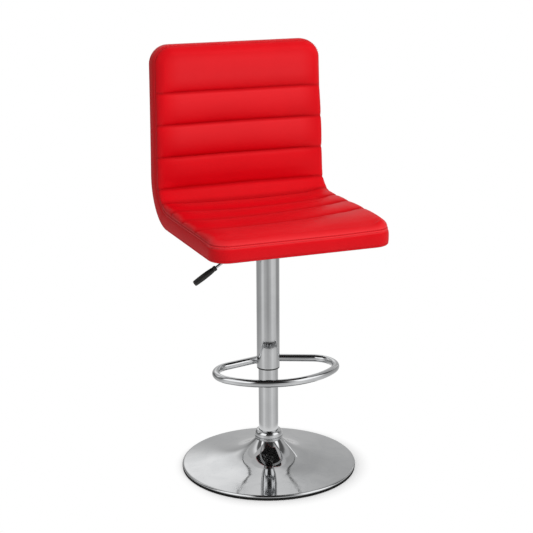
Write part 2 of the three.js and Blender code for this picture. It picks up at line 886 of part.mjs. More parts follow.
// Half of a slab's outline, from the front edge over the side to the top edge, drawn on the
// unrolled sitting surface and moved in from the seat's edge by inset.
function slabSide(inset, bendSteps = 7, cornerSteps = 3) {
  const corner = Math.max(seatCorner - inset, 1);
  const side = seatWidth / 2 - inset;
  const front = sweepCorners([side - corner, inset + corner], [corner, corner], -90, 0, cornerSteps);
  const top = sweepCorners([side - corner, seatLength - inset - corner], [corner, corner],
    0, 90, cornerSteps);
  const bend = Array.from({ length: bendSteps + 1 }, (_, i) => (
    [side, seatRun + bendLength * i / bendSteps]));
  const climb = [0.3, 0.6].map((share) => [side, seatRun + bendLength + backRise * share]);
  return [...front, ...bend, ...climb, ...top];
}

// A slab that follows the bent sitting line between two depths, its rims rounded by moving the
// outline in level by level.
function bentSlab(inset, depthFrom, depthTo, roundFrom, roundTo, steps = 3) {
  const levels = [
    ...sweepCorners([roundFrom, depthFrom + roundFrom], [roundFrom, roundFrom], 270, 180, steps),
    ...sweepCorners([roundTo, depthTo - roundTo], [roundTo, roundTo], 180, 90, steps),
  ];
  const sides = levels.map(([move]) => slabSide(inset + move));
  const count = sides[0].length;
  const positions = [];
  levels.forEach(([, depth], level) => {
    for (const hand of [1, -1]) {
      for (const [across, along] of sides[level]) {
        const share = Math.max(along - seatRun - bendLength, 0) / backRise;
        const x = across * (1 - share * 2 * backTaper / seatWidth);
        positions.push(hand * x, ...seatPoint(along, depth));
      }
    }
  });
  const index = [];
  const quad = (a, b, c, d) => index.push(a, b, c, a, c, d);
  const right = (level, i) => level * 2 * count + i;
  const left = (level, i) => right(level, i) + count;
  const last = levels.length - 1;
  for (let i = 0; i + 1 < count; i += 1) {
    quad(right(0, i), right(0, i + 1), left(0, i + 1), left(0, i));
    quad(left(last, i), left(last, i + 1), right(last, i + 1), right(last, i));
    for (let level = 0; level < last; level += 1) {
      quad(right(level, i), right(level + 1, i), right(level + 1, i + 1), right(level, i + 1));
      quad(left(level, i), left(level, i + 1), left(level + 1, i + 1), left(level + 1, i));
    }
  }
  for (let level = 0; level < last; level += 1) {
    quad(right(level, 0), left(level, 0), left(level + 1, 0), right(level + 1, 0));
    quad(right(level, count - 1), right(level + 1, count - 1), left(level + 1, count - 1),
      left(level, count - 1));
  }
  const geometry = new THREE.BufferGeometry();
  geometry.setAttribute('position', new THREE.Float32BufferAttribute(positions, 3));
  geometry.setIndex(index);
  return geometry;
}

// The opening in the back of the cover and the foam that takes the back panel.
function panelPocket() {
  const rounding = backPanelRounding + fit;
  return bentSlab(backPanelInset - fit, backPanelDepth - fit, seatThickness + backPanelThickness,
    rounding, rounding, 2);
}

function seatCover() {
  const outside = bentSlab(0, 0, seatThickness, cushionTopRounding, cushionUnderRounding);
  const inside = bentSlab(coverThickness, coverThickness, seatThickness - coverThickness,
    cushionTopRounding - coverThickness, cushionUnderRounding - coverThickness, 2);
  return cut(outside, inside, panelPocket());
}

function foamPad() {
  const block = bentSlab(foamDepth, foamDepth, seatThickness - foamDepth,
    cushionTopRounding - foamDepth, cushionUnderRounding - foamDepth, 2);
  const boardPocket = bentSlab(boardInset - fit, boardDepth - fit, backPanelDepth + 2 * fit,
    boardRounding + fit, boardRounding + fit, 1);
  return cut(block, boardPocket, panelPocket());
}

function seatBoard() {
  const blank = bentSlab(boardInset, boardDepth, boardDepth + boardThickness,
    boardRounding, boardRounding, 1);
  const flangeRoom = teeNutFlangeThickness + 2 * fit;
  const tools = boltPlaces.flatMap(([x, y]) => [
    rod(teeNutBarrel + fit, boardBottom - 1, boardThickness + 2, 12).translate(x, y, 0),
    rod(teeNutFlangeRadius + fit, boardTop - flangeRoom, 2 * flangeRoom, 12).translate(x, y, 0),
  ]);
  return cut(blank, ...tools);
}

// One bent sheet closes the seat's outer side. It is parted square to itself, part of the way
// round the bend: a black panel comes from under the seat, and a red one goes on up the back.
const bendCentreY = seatRun - seatOverhang;
const bendCentreZ = seatTop + bendRadius;

function panelSheet() {
  return bentSlab(backPanelInset, backPanelDepth, seatThickness, backPanelRounding,
    backPanelRounding, 2);
}

// Everything past the joint, towards the back for side 1 or towards the front for side -1.
function partingBlock(side) {
  const reach = 2 * seatLength;
  return new THREE.BoxGeometry(seatWidth, reach, reach)
    .translate(0, side * (reach - fit) / 2, 0)
    .rotateX(panelJointTurn * degrees)
    .translate(0, bendCentreY, bendCentreZ);
}

function underPanel() {
  const holes = boltPlaces.map(([x, y]) => (
    rod(boltRadius + fit, plateTop, 2 * backPanelThickness, 12).translate(x, y, 0)));
  return cut(panelSheet(), partingBlock(1), ...holes);
}

function backPanel() {
  return cut(panelSheet(), partingBlock(-1));
}

function buildSeat() {
  const group = new THREE.Group();
  group.add(
    piece('seat_board', seatBoard(), plywood),
    piece('foam_pad', foamPad(), paleFoam),
    piece('seat_cover', seatCover(), redLeather),
    piece('under_panel', underPanel(), blackFelt),
    piece('back_panel', backPanel(), redLeather),
  );
  return group;
}

// ---- stool --------------------------------------------------------------------------------
const stool = new THREE.Group();
stool.add(
  buildBase(),
  buildColumn(),
  buildSpindle(),
  buildSleeve(),
  buildMechanism(),
  buildLever(),
  piece('valve_button', valveButton(), zincSteel),
  buildSeat(),
);

export default stool;
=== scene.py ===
"""Looks for the adjustable swivel stool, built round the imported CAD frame. Metres, +Z up."""
import json
import math

import bmesh
import bpy
from mathutils import Matrix, Vector, noise


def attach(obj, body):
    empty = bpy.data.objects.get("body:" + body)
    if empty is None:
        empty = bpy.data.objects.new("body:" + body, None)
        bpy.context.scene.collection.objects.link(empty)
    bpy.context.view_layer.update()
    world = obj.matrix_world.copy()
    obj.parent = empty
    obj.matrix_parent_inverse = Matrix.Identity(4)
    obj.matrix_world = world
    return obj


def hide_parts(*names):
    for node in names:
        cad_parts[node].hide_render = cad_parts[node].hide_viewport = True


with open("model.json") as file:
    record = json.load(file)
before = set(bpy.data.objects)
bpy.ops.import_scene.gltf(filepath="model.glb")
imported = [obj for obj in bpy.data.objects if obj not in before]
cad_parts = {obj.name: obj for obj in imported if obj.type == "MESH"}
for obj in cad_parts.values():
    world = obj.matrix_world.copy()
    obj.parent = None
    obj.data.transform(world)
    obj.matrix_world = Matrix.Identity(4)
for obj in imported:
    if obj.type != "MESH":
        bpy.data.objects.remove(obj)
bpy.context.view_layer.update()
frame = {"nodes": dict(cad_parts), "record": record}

MM = 0.001
FULL_TURN = 2 * math.pi


def radians(degrees):
    return degrees * math.pi / 180


# ---- camera
CAMERA_PLACE = (-1.0602, -2.6466, 1.244)
CAMERA_HEADING = -21.83
CAMERA_PITCH = 15.4
CAMERA_ROLL = -0.28
CAMERA_LENS = 92.87


def place_camera():
    data = bpy.data.cameras.new("camera")
    data.lens = CAMERA_LENS
    data.sensor_width = 36
    data.shift_x = -0.0024
    camera = bpy.data.objects.new("camera", data)
    turn = (Matrix.Rotation(radians(CAMERA_HEADING), 4, "Z")
            @ Matrix.Rotation(radians(90 - CAMERA_PITCH), 4, "X")
            @ Matrix.Rotation(radians(CAMERA_ROLL), 4, "Z"))
    camera.matrix_world = Matrix.Translation(CAMERA_PLACE) @ turn
    bpy.context.scene.collection.objects.link(camera)
    bpy.context.scene.camera = camera


place_camera()


# ---- finishes: shader nodes written as expressions
class Signal:
    """A number that varies over a surface, with the usual sums."""

    def __init__(self, finish, socket):
        self.finish = finish
        self.socket = socket

    def sum(self, operation, first, *others):
        values = dict(enumerate((first, *others)))
        made = self.finish.node("ShaderNodeMath", {"operation": operation}, values)
        return Signal(self.finish, made.outputs[0])

    def __add__(self, other):
        return self.sum("ADD", self, other)

    def __sub__(self, other):
        return self.sum("SUBTRACT", self, other)

    def __rsub__(self, other):
        return self.sum("SUBTRACT", other, self)

    def __mul__(self, other):
        return self.sum("MULTIPLY", self, other)

    def __truediv__(self, other):
        return self.sum("DIVIDE", self, other)

    def size(self):
        return self.sum("ABSOLUTE", self)

    def at_most(self, other):
        return self.sum("MINIMUM", self, other)

    __radd__ = __add__
    __rmul__ = __mul__


class Finish:
    """A material or world, with one method that adds any node: type, settings, inputs."""

    def __init__(self, owner, coordinates="Object"):
        self.owner = owner
        owner.use_nodes = True
        self.tree = owner.node_tree
        self.tree.nodes.clear()
        self.place = self.signal("ShaderNodeTexCoord", output=coordinates)

    def node(self, kind, settings=(), inputs=()):
        made = self.tree.nodes.new(kind)
        for name, value in dict(settings).items():
            if name == "stops":
                self.set_stops(made.color_ramp, value)
            else:
                setattr(made, name, value)
        for name, value in dict(inputs).items():
            if isinstance(value, Signal):
                self.tree.links.new(value.socket, made.inputs[name])
            else:
                made.inputs[name].default_value = value
        return made

    def set_stops(self, ramp, stops):
        while len(ramp.elements) < len(stops):
            ramp.elements.new(1)
        for element, (place, level) in zip(ramp.elements, stops):
            element.position = place
            element.color = grey(level)

    def signal(self, kind, settings=(), inputs=(), output=0):
        return Signal(self, self.node(kind, settings, inputs).outputs[output])

    def axis(self, vector, name):
        return self.signal("ShaderNodeSeparateXYZ", inputs={0: vector}, output=name)

    def length(self, vector):
        return self.signal("ShaderNodeVectorMath", {"operation": "LENGTH"}, {0: vector}, "Value")

    def along(self, vector, way):
        return self.signal("ShaderNodeVectorMath", {"operation": "DOT_PRODUCT"}, {
            0: vector, 1: way}, "Value")

    def painted(self, name):
        """A value that was written on the piece's own points."""
        return self.signal("ShaderNodeAttribute", {"attribute_name": name}, output="Fac")

    def stretched(self, vector, scale, turn=(0, 0, 0)):
        return self.signal("ShaderNodeMapping", inputs={
            "Vector": vector, "Scale": scale, "Rotation": turn})

    def grain(self, vector, scale, detail=3, roughness=0.5, distortion=0):
        return self.signal("ShaderNodeTexNoise", inputs={
            "Vector": vector, "Scale": scale, "Detail": detail,
            "Roughness": roughness, "Distortion": distortion})

    def cells(self, vector, scale, feature="F1", output="Distance"):
        return self.signal("ShaderNodeTexVoronoi", {"feature": feature}, {
            "Vector": vector, "Scale": scale}, output)

    def ramp(self, factor, low, high, start=0, end=1):
        return self.signal("ShaderNodeMapRange", {"interpolation_type": "SMOOTHSTEP"}, {
            "Value": factor, "From Min": low, "From Max": high, "To Min": start,
            "To Max": end})

    def blend(self, factor, first, second):
        return self.signal("ShaderNodeMix", {"data_type": "RGBA"}, {
            0: factor, 6: first, 7: second}, 2)

    def bump(self, height, distance, strength=1, under=None):
        inputs = {"Height": height, "Distance": distance, "Strength": strength}
        if under is not None:
            inputs["Normal"] = under
        return self.signal("ShaderNodeBump", inputs=inputs)

    def ray(self, kind):
        return self.signal("ShaderNodeLightPath", output=f"Is {kind} Ray")

    def glow(self, kind, colour, strength=1):
        return self.signal(kind, inputs={"Color": colour, "Strength": strength})

    def either(self, factor, first, second):
        return self.signal("ShaderNodeMixShader", inputs={0: factor, 1: first, 2: second})

    def surface(self, **sockets):
        shader = self.signal("ShaderNodeBsdfPrincipled", inputs={
            name.replace("_", " "): value for name, value in sockets.items()})
        return self.out(shader)

    def out(self, shader, output="ShaderNodeOutputMaterial"):
        self.node(output, inputs={"Surface": shader})
        return self.owner


def new_finish(name):
    return Finish(bpy.data.materials.new(name))


def grey(level, warmth=0):
    return (level * (1 + warmth), level, level * (1 - warmth), 1)


FINISHES = {}


def finish_of(slot):
    """Makes the slot's material with the socket values that the function below it gives."""
    def fill(sockets):
        finish = new_finish(sockets.__name__)
        FINISHES[slot] = finish.surface(**sockets(finish, finish.place))
        return sockets
    return fill


@finish_of("chrome")
def polished_chrome(finish, place):
    smears = finish.grain(place, 22, 5, 0.62, 0.6)
    specks = finish.ramp(finish.cells(place, 900), 0.02, 0.09, 1, 0)
    hairlines = finish.grain(finish.stretched(place, (900, 60, 60), (0.3, 0.2, 0.9)), 1, 2)
    colour = finish.blend(finish.ramp(smears, 0.35, 0.7), grey(0.60, -0.01), grey(0.55, -0.015))
    roughness = 0.045 + 0.05 * finish.ramp(smears, 0.42, 0.72) + 0.1 * specks
    ripple = finish.bump(finish.grain(place, 38, 2), 0.0004, 0.12)
    return dict(
        Base_Color=colour, Metallic=1.0, Roughness=roughness,
        Normal=finish.bump(hairlines, 0.00002, 0.15, ripple))


@finish_of("satin_chrome")
def column_chrome(finish, place):
    smears = finish.grain(place, 16, 5, 0.6, 0.4)
    drawn = finish.grain(finish.stretched(place, (420, 420, 5)), 1, 3)
    colour = finish.blend(finish.ramp(smears, 0.3, 0.7), grey(0.60, -0.01), grey(0.54, -0.012))
    roughness = 0.05 + 0.05 * finish.ramp(smears, 0.4, 0.75) + 0.02 * drawn
    return dict(
        Base_Color=colour, Metallic=1.0, Roughness=roughness,
        Normal=finish.bump(drawn, 0.00003, 0.35))


@finish_of("bare_steel")
def turned_steel(finish, place):
    radius = finish.length(finish.stretched(place, (1, 1, 0)))
    rings = finish.signal("ShaderNodeTexNoise", {"noise_dimensions": "1D"}, {
        "W": radius, "Scale": 2600, "Detail": 2})
    stain = finish.grain(place, 30, 5, 0.65)
    colour = finish.blend(finish.ramp(stain, 0.35, 0.75), grey(0.32), grey(0.21, 0.12))
    return dict(
        Base_Color=colour, Metallic=1.0, Roughness=0.3 + 0.25 * stain,
        Normal=finish.bump(rings, 0.00008, 0.4))


@finish_of("zinc_steel")
def zinc_plate(finish, place):
    bloom = finish.grain(place, 85, 4, 0.6, 0.8)
    crystals = finish.cells(place, 700, output="Color")
    colour = finish.blend(finish.ramp(bloom, 0.3, 0.7), grey(0.5, -0.05), (0.46, 0.45, 0.36, 1))
    return dict(
        Base_Color=colour, Metallic=1.0, Roughness=0.28 + 0.2 * bloom,
        Normal=finish.bump(finish.axis(crystals, "X"), 0.00003, 0.3))


@finish_of("black_metal")
def powder_coat(finish, place):
    peel = finish.grain(place, 1400, 3, 0.55)
    dust = finish.ramp(finish.grain(place, 40, 5, 0.7), 0.45, 0.8)
    colour = finish.blend(dust, grey(0.013), grey(0.030, 0.05))
    return dict(
        Base_Color=colour, Roughness=0.42 + 0.18 * dust,
        Normal=finish.bump(peel, 0.0002, 0.5))


@finish_of("black_plastic")
def moulded_black(finish, place):
    spark = finish.cells(place, 2300)
    rub = finish.ramp(finish.grain(place, 60, 4, 0.6), 0.4, 0.75)
    colour = finish.blend(rub, (0.0100, 0.0090, 0.0085, 1), (0.020, 0.018, 0.016, 1))
    return dict(
        Base_Color=colour, Roughness=0.5 - 0.14 * rub,
        Normal=finish.bump(spark, 0.00012, 0.35))


@finish_of("rubber")
def black_rubber(finish, place):
    bloom = finish.ramp(finish.grain(place, 34, 5, 0.65), 0.35, 0.75)
    pores = finish.grain(place, 1500, 2)
    colour = finish.blend(bloom, grey(0.008), grey(0.020, 0.04))
    return dict(
        Base_Color=colour, Roughness=0.72 + 0.15 * bloom, Specular_IOR_Level=0.2,
        Normal=finish.bump(pores, 0.0002, 0.6))


@finish_of("plywood")
def plywood(finish, place):
    figure = finish.grain(finish.stretched(place, (7, 60, 60)), 1, 4, 0.6, 1.5)
    pores = finish.grain(finish.stretched(place, (60, 900, 900)), 1, 2)
    colour = finish.blend(finish.ramp(figure, 0.3, 0.7), (0.58, 0.38, 0.18, 1),
                          (0.44, 0.25, 0.10, 1))
    return dict(
        Base_Color=colour, Roughness=0.62 + 0.15 * figure,
        Normal=finish.bump(pores, 0.0002, 0.5))


@finish_of("foam")
def seat_foam(finish, place):
    pores = finish.cells(place, 850)
    tone = finish.grain(place, 18, 3)
    colour = finish.blend(finish.ramp(tone, 0.3, 0.7), (0.80, 0.74, 0.56, 1),
                          (0.72, 0.64, 0.44, 1))
    return dict(
        Base_Color=colour, Roughness=0.9, Normal=finish.bump(pores, 0.0006, 0.8))


@finish_of("black_felt")
def black_felt(finish, place):
    fibres = finish.grain(finish.stretched(place, (500, 900, 700), (0.4, 0.1, 0.7)), 1, 4, 0.7)
    embossed = finish.ramp(finish.cells(place, 420), 0.1, 0.6)
    colour = finish.blend(finish.ramp(fibres, 0.35, 0.7), grey(0.010), grey(0.022, 0.02))
    return dict(
        Base_Color=colour, Roughness=0.88 + 0.08 * fibres, Specular_IOR_Level=0.12,
        Normal=finish.bump(embossed + fibres, 0.0002, 0.35))


@finish_of("red_leather")
def red_leather(finish, place):
    """Coated leather cloth: pebble grain, slow colour change, darker and duller in the seam
    lines, with painted shade round the creases, a painted sheen on the far part of each roll and
    along the welt, and painted black shade on the tuck under the seat.
    """
    pebbles = finish.cells(place, 780, "SMOOTH_F1")
    creases = finish.cells(place, 430, "DISTANCE_TO_EDGE")
    tide = finish.grain(place, 9, 4, 0.55)
    seam_lines_and_shade, painted_sheen_mask, bound = [finish.painted(name) for name in ("sewn_seam", "polished", "bound")]
    fresh, aged = (0.67, 0.0008, 0.0060, 1), (0.63, 0.0004, 0.0050, 1)
    painted_sheen_colour, sewn = (0.745, 0.0338, 0.0410, 1), (0.42, 0.0004, 0.0030, 1)
    painted_shade_black = (0.012, 0.010, 0.010, 1)
    colour = finish.blend(finish.ramp(tide, 0.35, 0.68), fresh, aged)
    # Painted sheen: a lighter, pinker colour standing in for highlight.
    colour = finish.blend(0.4 * painted_sheen_mask, colour, painted_sheen_colour)
    # Darker seam lines, and painted shade round the creases in the same dark colour.
    colour = finish.blend(0.75 * seam_lines_and_shade, colour, sewn)
    # Painted shade: black on the tuck under the seat.
    colour = finish.blend(finish.ramp(bound, 0.5, 0.6), colour, painted_shade_black)
    grain = finish.ramp(pebbles, 0.1, 0.62, 1, 0) + 0.6 * finish.ramp(creases, 0.0, 0.09)
    return dict(
        Base_Color=colour, Roughness=0.42 + 0.06 * tide + 0.14 * seam_lines_and_shade - 0.05 * painted_sheen_mask,
        Specular_IOR_Level=0.14,
        Normal=finish.bump(grain, 0.00014, 0.42))


@finish_of("thread")
def sewing_thread(finish, place):
    """Dark red twisted thread, dull so that single stitches read as dots."""
    twist = finish.grain(finish.stretched(place, (1500, 1500, 1500), (0.6, 0.6, 0.3)), 1, 1)
    colour = finish.blend(twist, (0.30, 0.002, 0.004, 1), (0.18, 0.001, 0.002, 1))
    return dict(
        Base_Color=colour, Roughness=0.6, Specular_IOR_Level=0.12,
        Normal=finish.bump(twist, 0.0002, 0.6))


def dress_cad_nodes():
    for part in frame["record"]["subparts"]:
        mesh = frame["nodes"][part["node"]].data
        mesh.materials.clear()
        mesh.materials.append(FINISHES[part["material_slot"]])


dress_cad_nodes()


# ---- shaping helpers
def sharp_edges(bm, limit=30):
    return [edge for edge in bm.edges
            if len(edge.link_faces) == 2 and edge.calc_face_angle() > radians(limit)]


def round_edges(bm, radius, segments=2, limit=30):
    bmesh.ops.bevel(bm, geom=sharp_edges(bm, limit), offset=radius * MM, offset_type="OFFSET",
                    affect="EDGES", segments=segments, profile=0.5, material=-1,
                    clamp_overlap=True)


def link(name, data):
    """A new object in the scene; a bmesh becomes its mesh."""
    if isinstance(data, bmesh.types.BMesh):
        bm, data = data, bpy.data.meshes.new(name)
        bm.to_mesh(data)
        bm.free()
    made = bpy.data.objects.new(name, data)
    bpy.context.scene.collection.objects.link(made)
    return made


def only(kind, geometry):
    return [item for item in geometry if isinstance(item, kind)]


def become_piece(made, slot, body, stands_for=(), finish=None):
    made.data.materials.clear()
    made.data.materials.append(finish or FINISHES[slot])
    made.data.shade_smooth()
    made.data.set_sharp_from_angle(angle=radians(38))
    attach(made, body)
    if stands_for:
        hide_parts(*stands_for)
    return made


def piece(name, bm, slot, body, stands_for=(), finish=None):
    return become_piece(link(name, bm), slot, body, stands_for, finish)


def guarded(outline):
    """Adds a corner near both ends of a long straight, so its middle is shaded straight."""
    closed = outline[0][0] > 0
    rounds = []
    for here, onward in zip(outline, outline[1:] + outline[:1] * closed):
        rounds.append(here)
        start, end = Vector(here), Vector(onward)
        if (end - start).length > 60:
            step = (end - start).normalized() * 2.5
            rounds += [tuple(start + step), tuple(end - step)]
    return rounds if closed else rounds + outline[-1:]


def turned(outline, facets=128, rounding=0, segments=2):
    """Spins an outline of (radius, height) corners in millimetres round the column axis."""
    outline = guarded(outline)
    bm = bmesh.new()
    corners = [bm.verts.new((radius * MM, 0, height * MM)) for radius, height in outline]
    pairs = list(zip(corners, corners[1:]))
    if outline[0][0] > 0:
        pairs.append((corners[-1], corners[0]))
    rim = [bm.edges.new(pair) for pair in pairs]
    bmesh.ops.spin(bm, geom=corners + rim, cent=(0, 0, 0), axis=(0, 0, 1), dvec=(0, 0, 0),
                   angle=FULL_TURN, steps=facets, use_merge=True, use_normal_flip=False,
                   use_duplicate=False)
    bmesh.ops.remove_doubles(bm, verts=bm.verts, dist=1e-6)
    bmesh.ops.recalc_face_normals(bm, faces=bm.faces)
    if rounding:
        round_edges(bm, rounding, segments)
    return bm


def quarter(centre, radii, start, end, steps):
    return [(centre[0] + radii[0] * math.cos(radians(start + (end - start) * i / steps)),
             centre[1] + radii[1] * math.sin(radians(start + (end - start) * i / steps)))
            for i in range(steps + 1)]


class Bar:
    """A round bar that grows from its first ring by straight runs and turns."""

    def __init__(self, radius, start, towards, facets):
        self.bm = bmesh.new()
        lie = Vector((0, 0, 1)).rotation_difference(Vector(towards)).to_matrix().to_4x4()
        ring = bmesh.ops.create_circle(
            self.bm, segments=facets, radius=radius * MM,
            matrix=Matrix.Translation(Vector(start) * MM) @ lie)
        self.first = ring["verts"]
        self.last = list(self.bm.edges)

    def straight(self, run):
        grown = bmesh.ops.extrude_edge_only(self.bm, edges=self.last)["geom"]
        ends = only(bmesh.types.BMVert, grown)
        bmesh.ops.translate(self.bm, verts=ends, vec=Vector(run) * MM)
        self.last = [edge for edge in only(bmesh.types.BMEdge, grown)
                     if set(edge.verts) <= set(ends)]

    def turn(self, centre, axis, angle, steps):
        grown = bmesh.ops.spin(
            self.bm, geom=self.last, cent=Vector(centre) * MM, axis=axis, dvec=(0, 0, 0),
            angle=radians(angle), steps=steps, use_merge=False, use_normal_flip=False,
            use_duplicate=False)["geom_last"]
        self.last = only(bmesh.types.BMEdge, grown)

    def close(self):
        bmesh.ops.holes_fill(self.bm, edges=[e for e in self.bm.edges if e.is_boundary])
        bmesh.ops.recalc_face_normals(self.bm, faces=self.bm.faces)


# ---- base
BASE_RADIUS = 192.5
RING_HEIGHT = 4
RING_WIDTH = 22
DISH_BOTTOM = 4.3
DISH_WALL = 1.5
LIP = 5
CONE_FOOT = 11
CONE_RADIUS = BASE_RADIUS - LIP
CONE_RISE = 54
NECK_RADIUS = 29.3
NECK_TOP = 68
COLLAR_BORE = 21.8
COLLAR_RADIUS = 31.1
TUBE_RADIUS = 21.5
TUBE_WALL = 1.5
TUBE_BOTTOM = 10
TUBE_TOP = 467.7
TUBE_FLOOR = 3
SCREW_HOLE = 7.3


def cone_point(share, inward=0):
    """The trumpet's slope, from its rim at 0 to its neck at 1, or so far inside it."""
    span = CONE_RADIUS - NECK_RADIUS
    rise = CONE_RISE * (0.37 * share + 0.63 * share ** 4.5)
    slope = CONE_RISE * (0.37 + 0.63 * 4.5 * share ** 3.5)
    length = math.hypot(slope, span)
    return (CONE_RADIUS - span * share - inward * slope / length,
            CONE_FOOT + rise - inward * span / length)


def build_base():
    edge = BASE_RADIUS - 0.5
    ring = [(edge - RING_WIDTH, 0), (edge, 0), (edge, RING_HEIGHT),
            (edge - RING_WIDTH, RING_HEIGHT)]
    piece("rubber_ring", turned(ring, 160, 0.8, 3), "rubber", "base", ["floor_ring"])
    outside = [cone_point((i / 44) ** 0.6) for i in range(45)]
    inside = [cone_point((i / 24) ** 0.6, DISH_WALL) for i in range(24, -1, -1)]
    neck_bore = NECK_RADIUS - DISH_WALL
    dish = ([(BASE_RADIUS - DISH_WALL, DISH_BOTTOM)]
            + quarter((BASE_RADIUS - 0.8, DISH_BOTTOM + 0.8), (0.8, 0.8), -90, 0, 4)
            + quarter((CONE_RADIUS, CONE_FOOT - LIP), (LIP, LIP), 0, 76, 10)
            + outside + [(NECK_RADIUS, NECK_TOP), (neck_bore, NECK_TOP),
                         (neck_bore, inside[0][1] + 1)] + inside[1:])
    piece("trumpet_base", turned(dish, 192), "chrome", "base", ["base_shell"])
    bottom = NECK_TOP + 0.3
    shoulder_foot = COLLAR_RADIUS - 0.8
    dome = (COLLAR_BORE + 1.2, bottom + 5)
    collar = ([(COLLAR_BORE, bottom), (shoulder_foot, bottom)]
              + quarter((shoulder_foot, bottom + 0.8), (0.8, 0.8), -90, 90, 6)
              + [(COLLAR_RADIUS - 0.9, bottom + 2.1), (COLLAR_RADIUS - 0.4, bottom + 2.6)]
              + quarter(dome, (COLLAR_RADIUS - dome[0], 12.7), 0, 90, 14)
              + [(COLLAR_BORE, bottom + 17.7)])
    piece("neck_collar", turned(collar, 128), "chrome", "base", ["base_collar"])
    bore = TUBE_RADIUS - TUBE_WALL
    floor = TUBE_BOTTOM + TUBE_FLOOR
    tube = [(bore, floor), (bore, TUBE_TOP), (TUBE_RADIUS, TUBE_TOP),
            (TUBE_RADIUS, TUBE_BOTTOM), (SCREW_HOLE, TUBE_BOTTOM), (SCREW_HOLE, floor)]
    piece("column_tube", turned(tube, 128, 0.4), "satin_chrome", "base", ["stand_tube"])


build_base()


# ---- sleeve and footrest
SLEEVE_RADIUS = 25
SLEEVE_BOTTOM = 233
SLEEVE_TOP = 484
SLEEVE_WALL = 1.2
LIP_HEIGHT = 2.7
SPIGOT_HEIGHT = 20
FOOTREST_RADIUS = 8
FOOTREST_HEIGHT = 246
FOOTREST_REACH = 149
FOOTREST_FRONT = 162
FOOTREST_CORNER = 52
FOOTREST_SWEEP = 18
FOOTREST_YAW = -6.2
FOOTREST_WALL = 1.2
WELD_RADIUS = 1.5


def footrest_bar():
    """The D-shaped loop: a bar from the sleeve, a fillet, the front arc and back again."""
    sweep = radians(FOOTREST_SWEEP)
    along = Vector((math.cos(sweep), -math.sin(sweep), 0))
    inward = Vector((-math.sin(sweep), -math.cos(sweep), 0))
    start = -inward * (SLEEVE_RADIUS - FOOTREST_RADIUS)
    front_centre = Vector((0, FOOTREST_FRONT - FOOTREST_REACH, 0))
    to_fillet = start + inward * FOOTREST_CORNER - front_centre
    span = FOOTREST_FRONT - FOOTREST_CORNER
    lead = to_fillet.dot(along)
    length = -lead + math.sqrt(lead ** 2 - to_fillet.length_squared + span ** 2)
    fillet = front_centre + to_fillet + along * length
    outward = fillet - front_centre
    corner_start = 90 - FOOTREST_SWEEP
    corner_end = math.degrees(math.atan2(outward.y, outward.x))
    bar = Bar(FOOTREST_RADIUS, start, along, 32)
    mouth = bar.first
    bar.straight(along * length)
    bar.turn(fillet, (0, 0, 1), corner_end - corner_start, 20)
    bar.turn(front_centre, (0, 0, 1), -180 - 2 * corner_end, 48)
    far = Vector((-fillet.x, fillet.y, 0))
    bar.turn(far, (0, 0, 1), corner_end - corner_start, 20)
    bar.straight(Vector((along.x, -along.y, 0)) * length)
    back_mouth = {vert for edge in bar.last for vert in edge.verts}
    fit_to_sleeve(mouth, start, along)
    fit_to_sleeve(back_mouth, Vector((-start.x, start.y, 0)), Vector((-along.x, along.y, 0)))
    return bar.bm, mouth, back_mouth


def fit_to_sleeve(verts, start, along):
    """Cuts a bar's end to the round of the sleeve that it is welded to."""
    side = Vector((along.y, -along.x, 0))
    for vert in verts:
        offset = abs((vert.co / MM).dot(side))
        reach = math.sqrt(max((SLEEVE_RADIUS + 0.15) ** 2 - offset ** 2, 0))
        vert.co += along * (reach * MM - (vert.co - start * MM).dot(along))


def weld_bead(name, ring):
    """A polished fillet weld that follows the cut end of a bar."""
    curve = bpy.data.curves.new(name, "CURVE")
    curve.dimensions = "3D"
    curve.bevel_depth = WELD_RADIUS * MM
    curve.bevel_resolution = 3
    spline = curve.splines.new("POLY")
    spline.points.add(len(ring) - 1)
    for i, place in enumerate(ring):
        spline.points[i].co = (*place, 1)
        spline.points[i].radius = 1 + 0.18 * noise.noise(place * 400)
    spline.use_cyclic_u = True
    shape = link(name + "_line", curve)
    mesh = bpy.data.meshes.new_from_object(shape.evaluated_get(
        bpy.context.evaluated_depsgraph_get()))
    bpy.data.objects.remove(shape)
    mesh.name = name
    return become_piece(link(name, mesh), "chrome", "seat")


def build_sleeve():
    bore = SLEEVE_RADIUS - SLEEVE_WALL
    tube = [(bore, SLEEVE_BOTTOM), (SLEEVE_RADIUS, SLEEVE_BOTTOM),
            (SLEEVE_RADIUS, SLEEVE_TOP), (bore, SLEEVE_TOP)]
    piece("lift_sleeve", turned(tube, 128, 0.4), "satin_chrome", "seat", ["sleeve"])
    slide, spigot, rim = TUBE_RADIUS + 0.3, bore - 0.3, SLEEVE_RADIUS - 0.3
    low = SLEEVE_BOTTOM - LIP_HEIGHT - 0.3
    step, top = low + LIP_HEIGHT, low + LIP_HEIGHT + SPIGOT_HEIGHT
    bush = [(slide, low), (rim, low), (rim, step), (spigot, step), (spigot, top), (slide, top)]
    piece("guide_lip", turned(bush, 96, 0.4), "black_plastic", "seat", ["sleeve_bush"])
    bm, mouth, back_mouth = footrest_bar()
    lift = (Matrix.Translation((0, 0, FOOTREST_HEIGHT * MM))
            @ Matrix.Rotation(radians(FOOTREST_YAW), 4, "Z"))
    rings = []
    for group in (mouth, back_mouth):
        centre = sum((vert.co for vert in group), Vector()) / len(group)
        outward = Vector((centre.x, centre.y, 0)).normalized()
        ordered = sorted(group, key=lambda vert: math.atan2(
            vert.co.z, (vert.co - centre).dot(outward)))
        rings.append([lift @ vert.co for vert in ordered])
    bmesh.ops.recalc_face_normals(bm, faces=bm.faces)
    bmesh.ops.solidify(bm, geom=bm.faces[:], thickness=FOOTREST_WALL * MM)
    bmesh.ops.transform(bm, matrix=lift, verts=bm.verts)
    piece("foot_loop", bm, "chrome", "seat", ["footrest"])
    for name, ring in zip(("weld_bead_left", "weld_bead_right"), rings):
        weld_bead(name, ring)


build_sleeve()


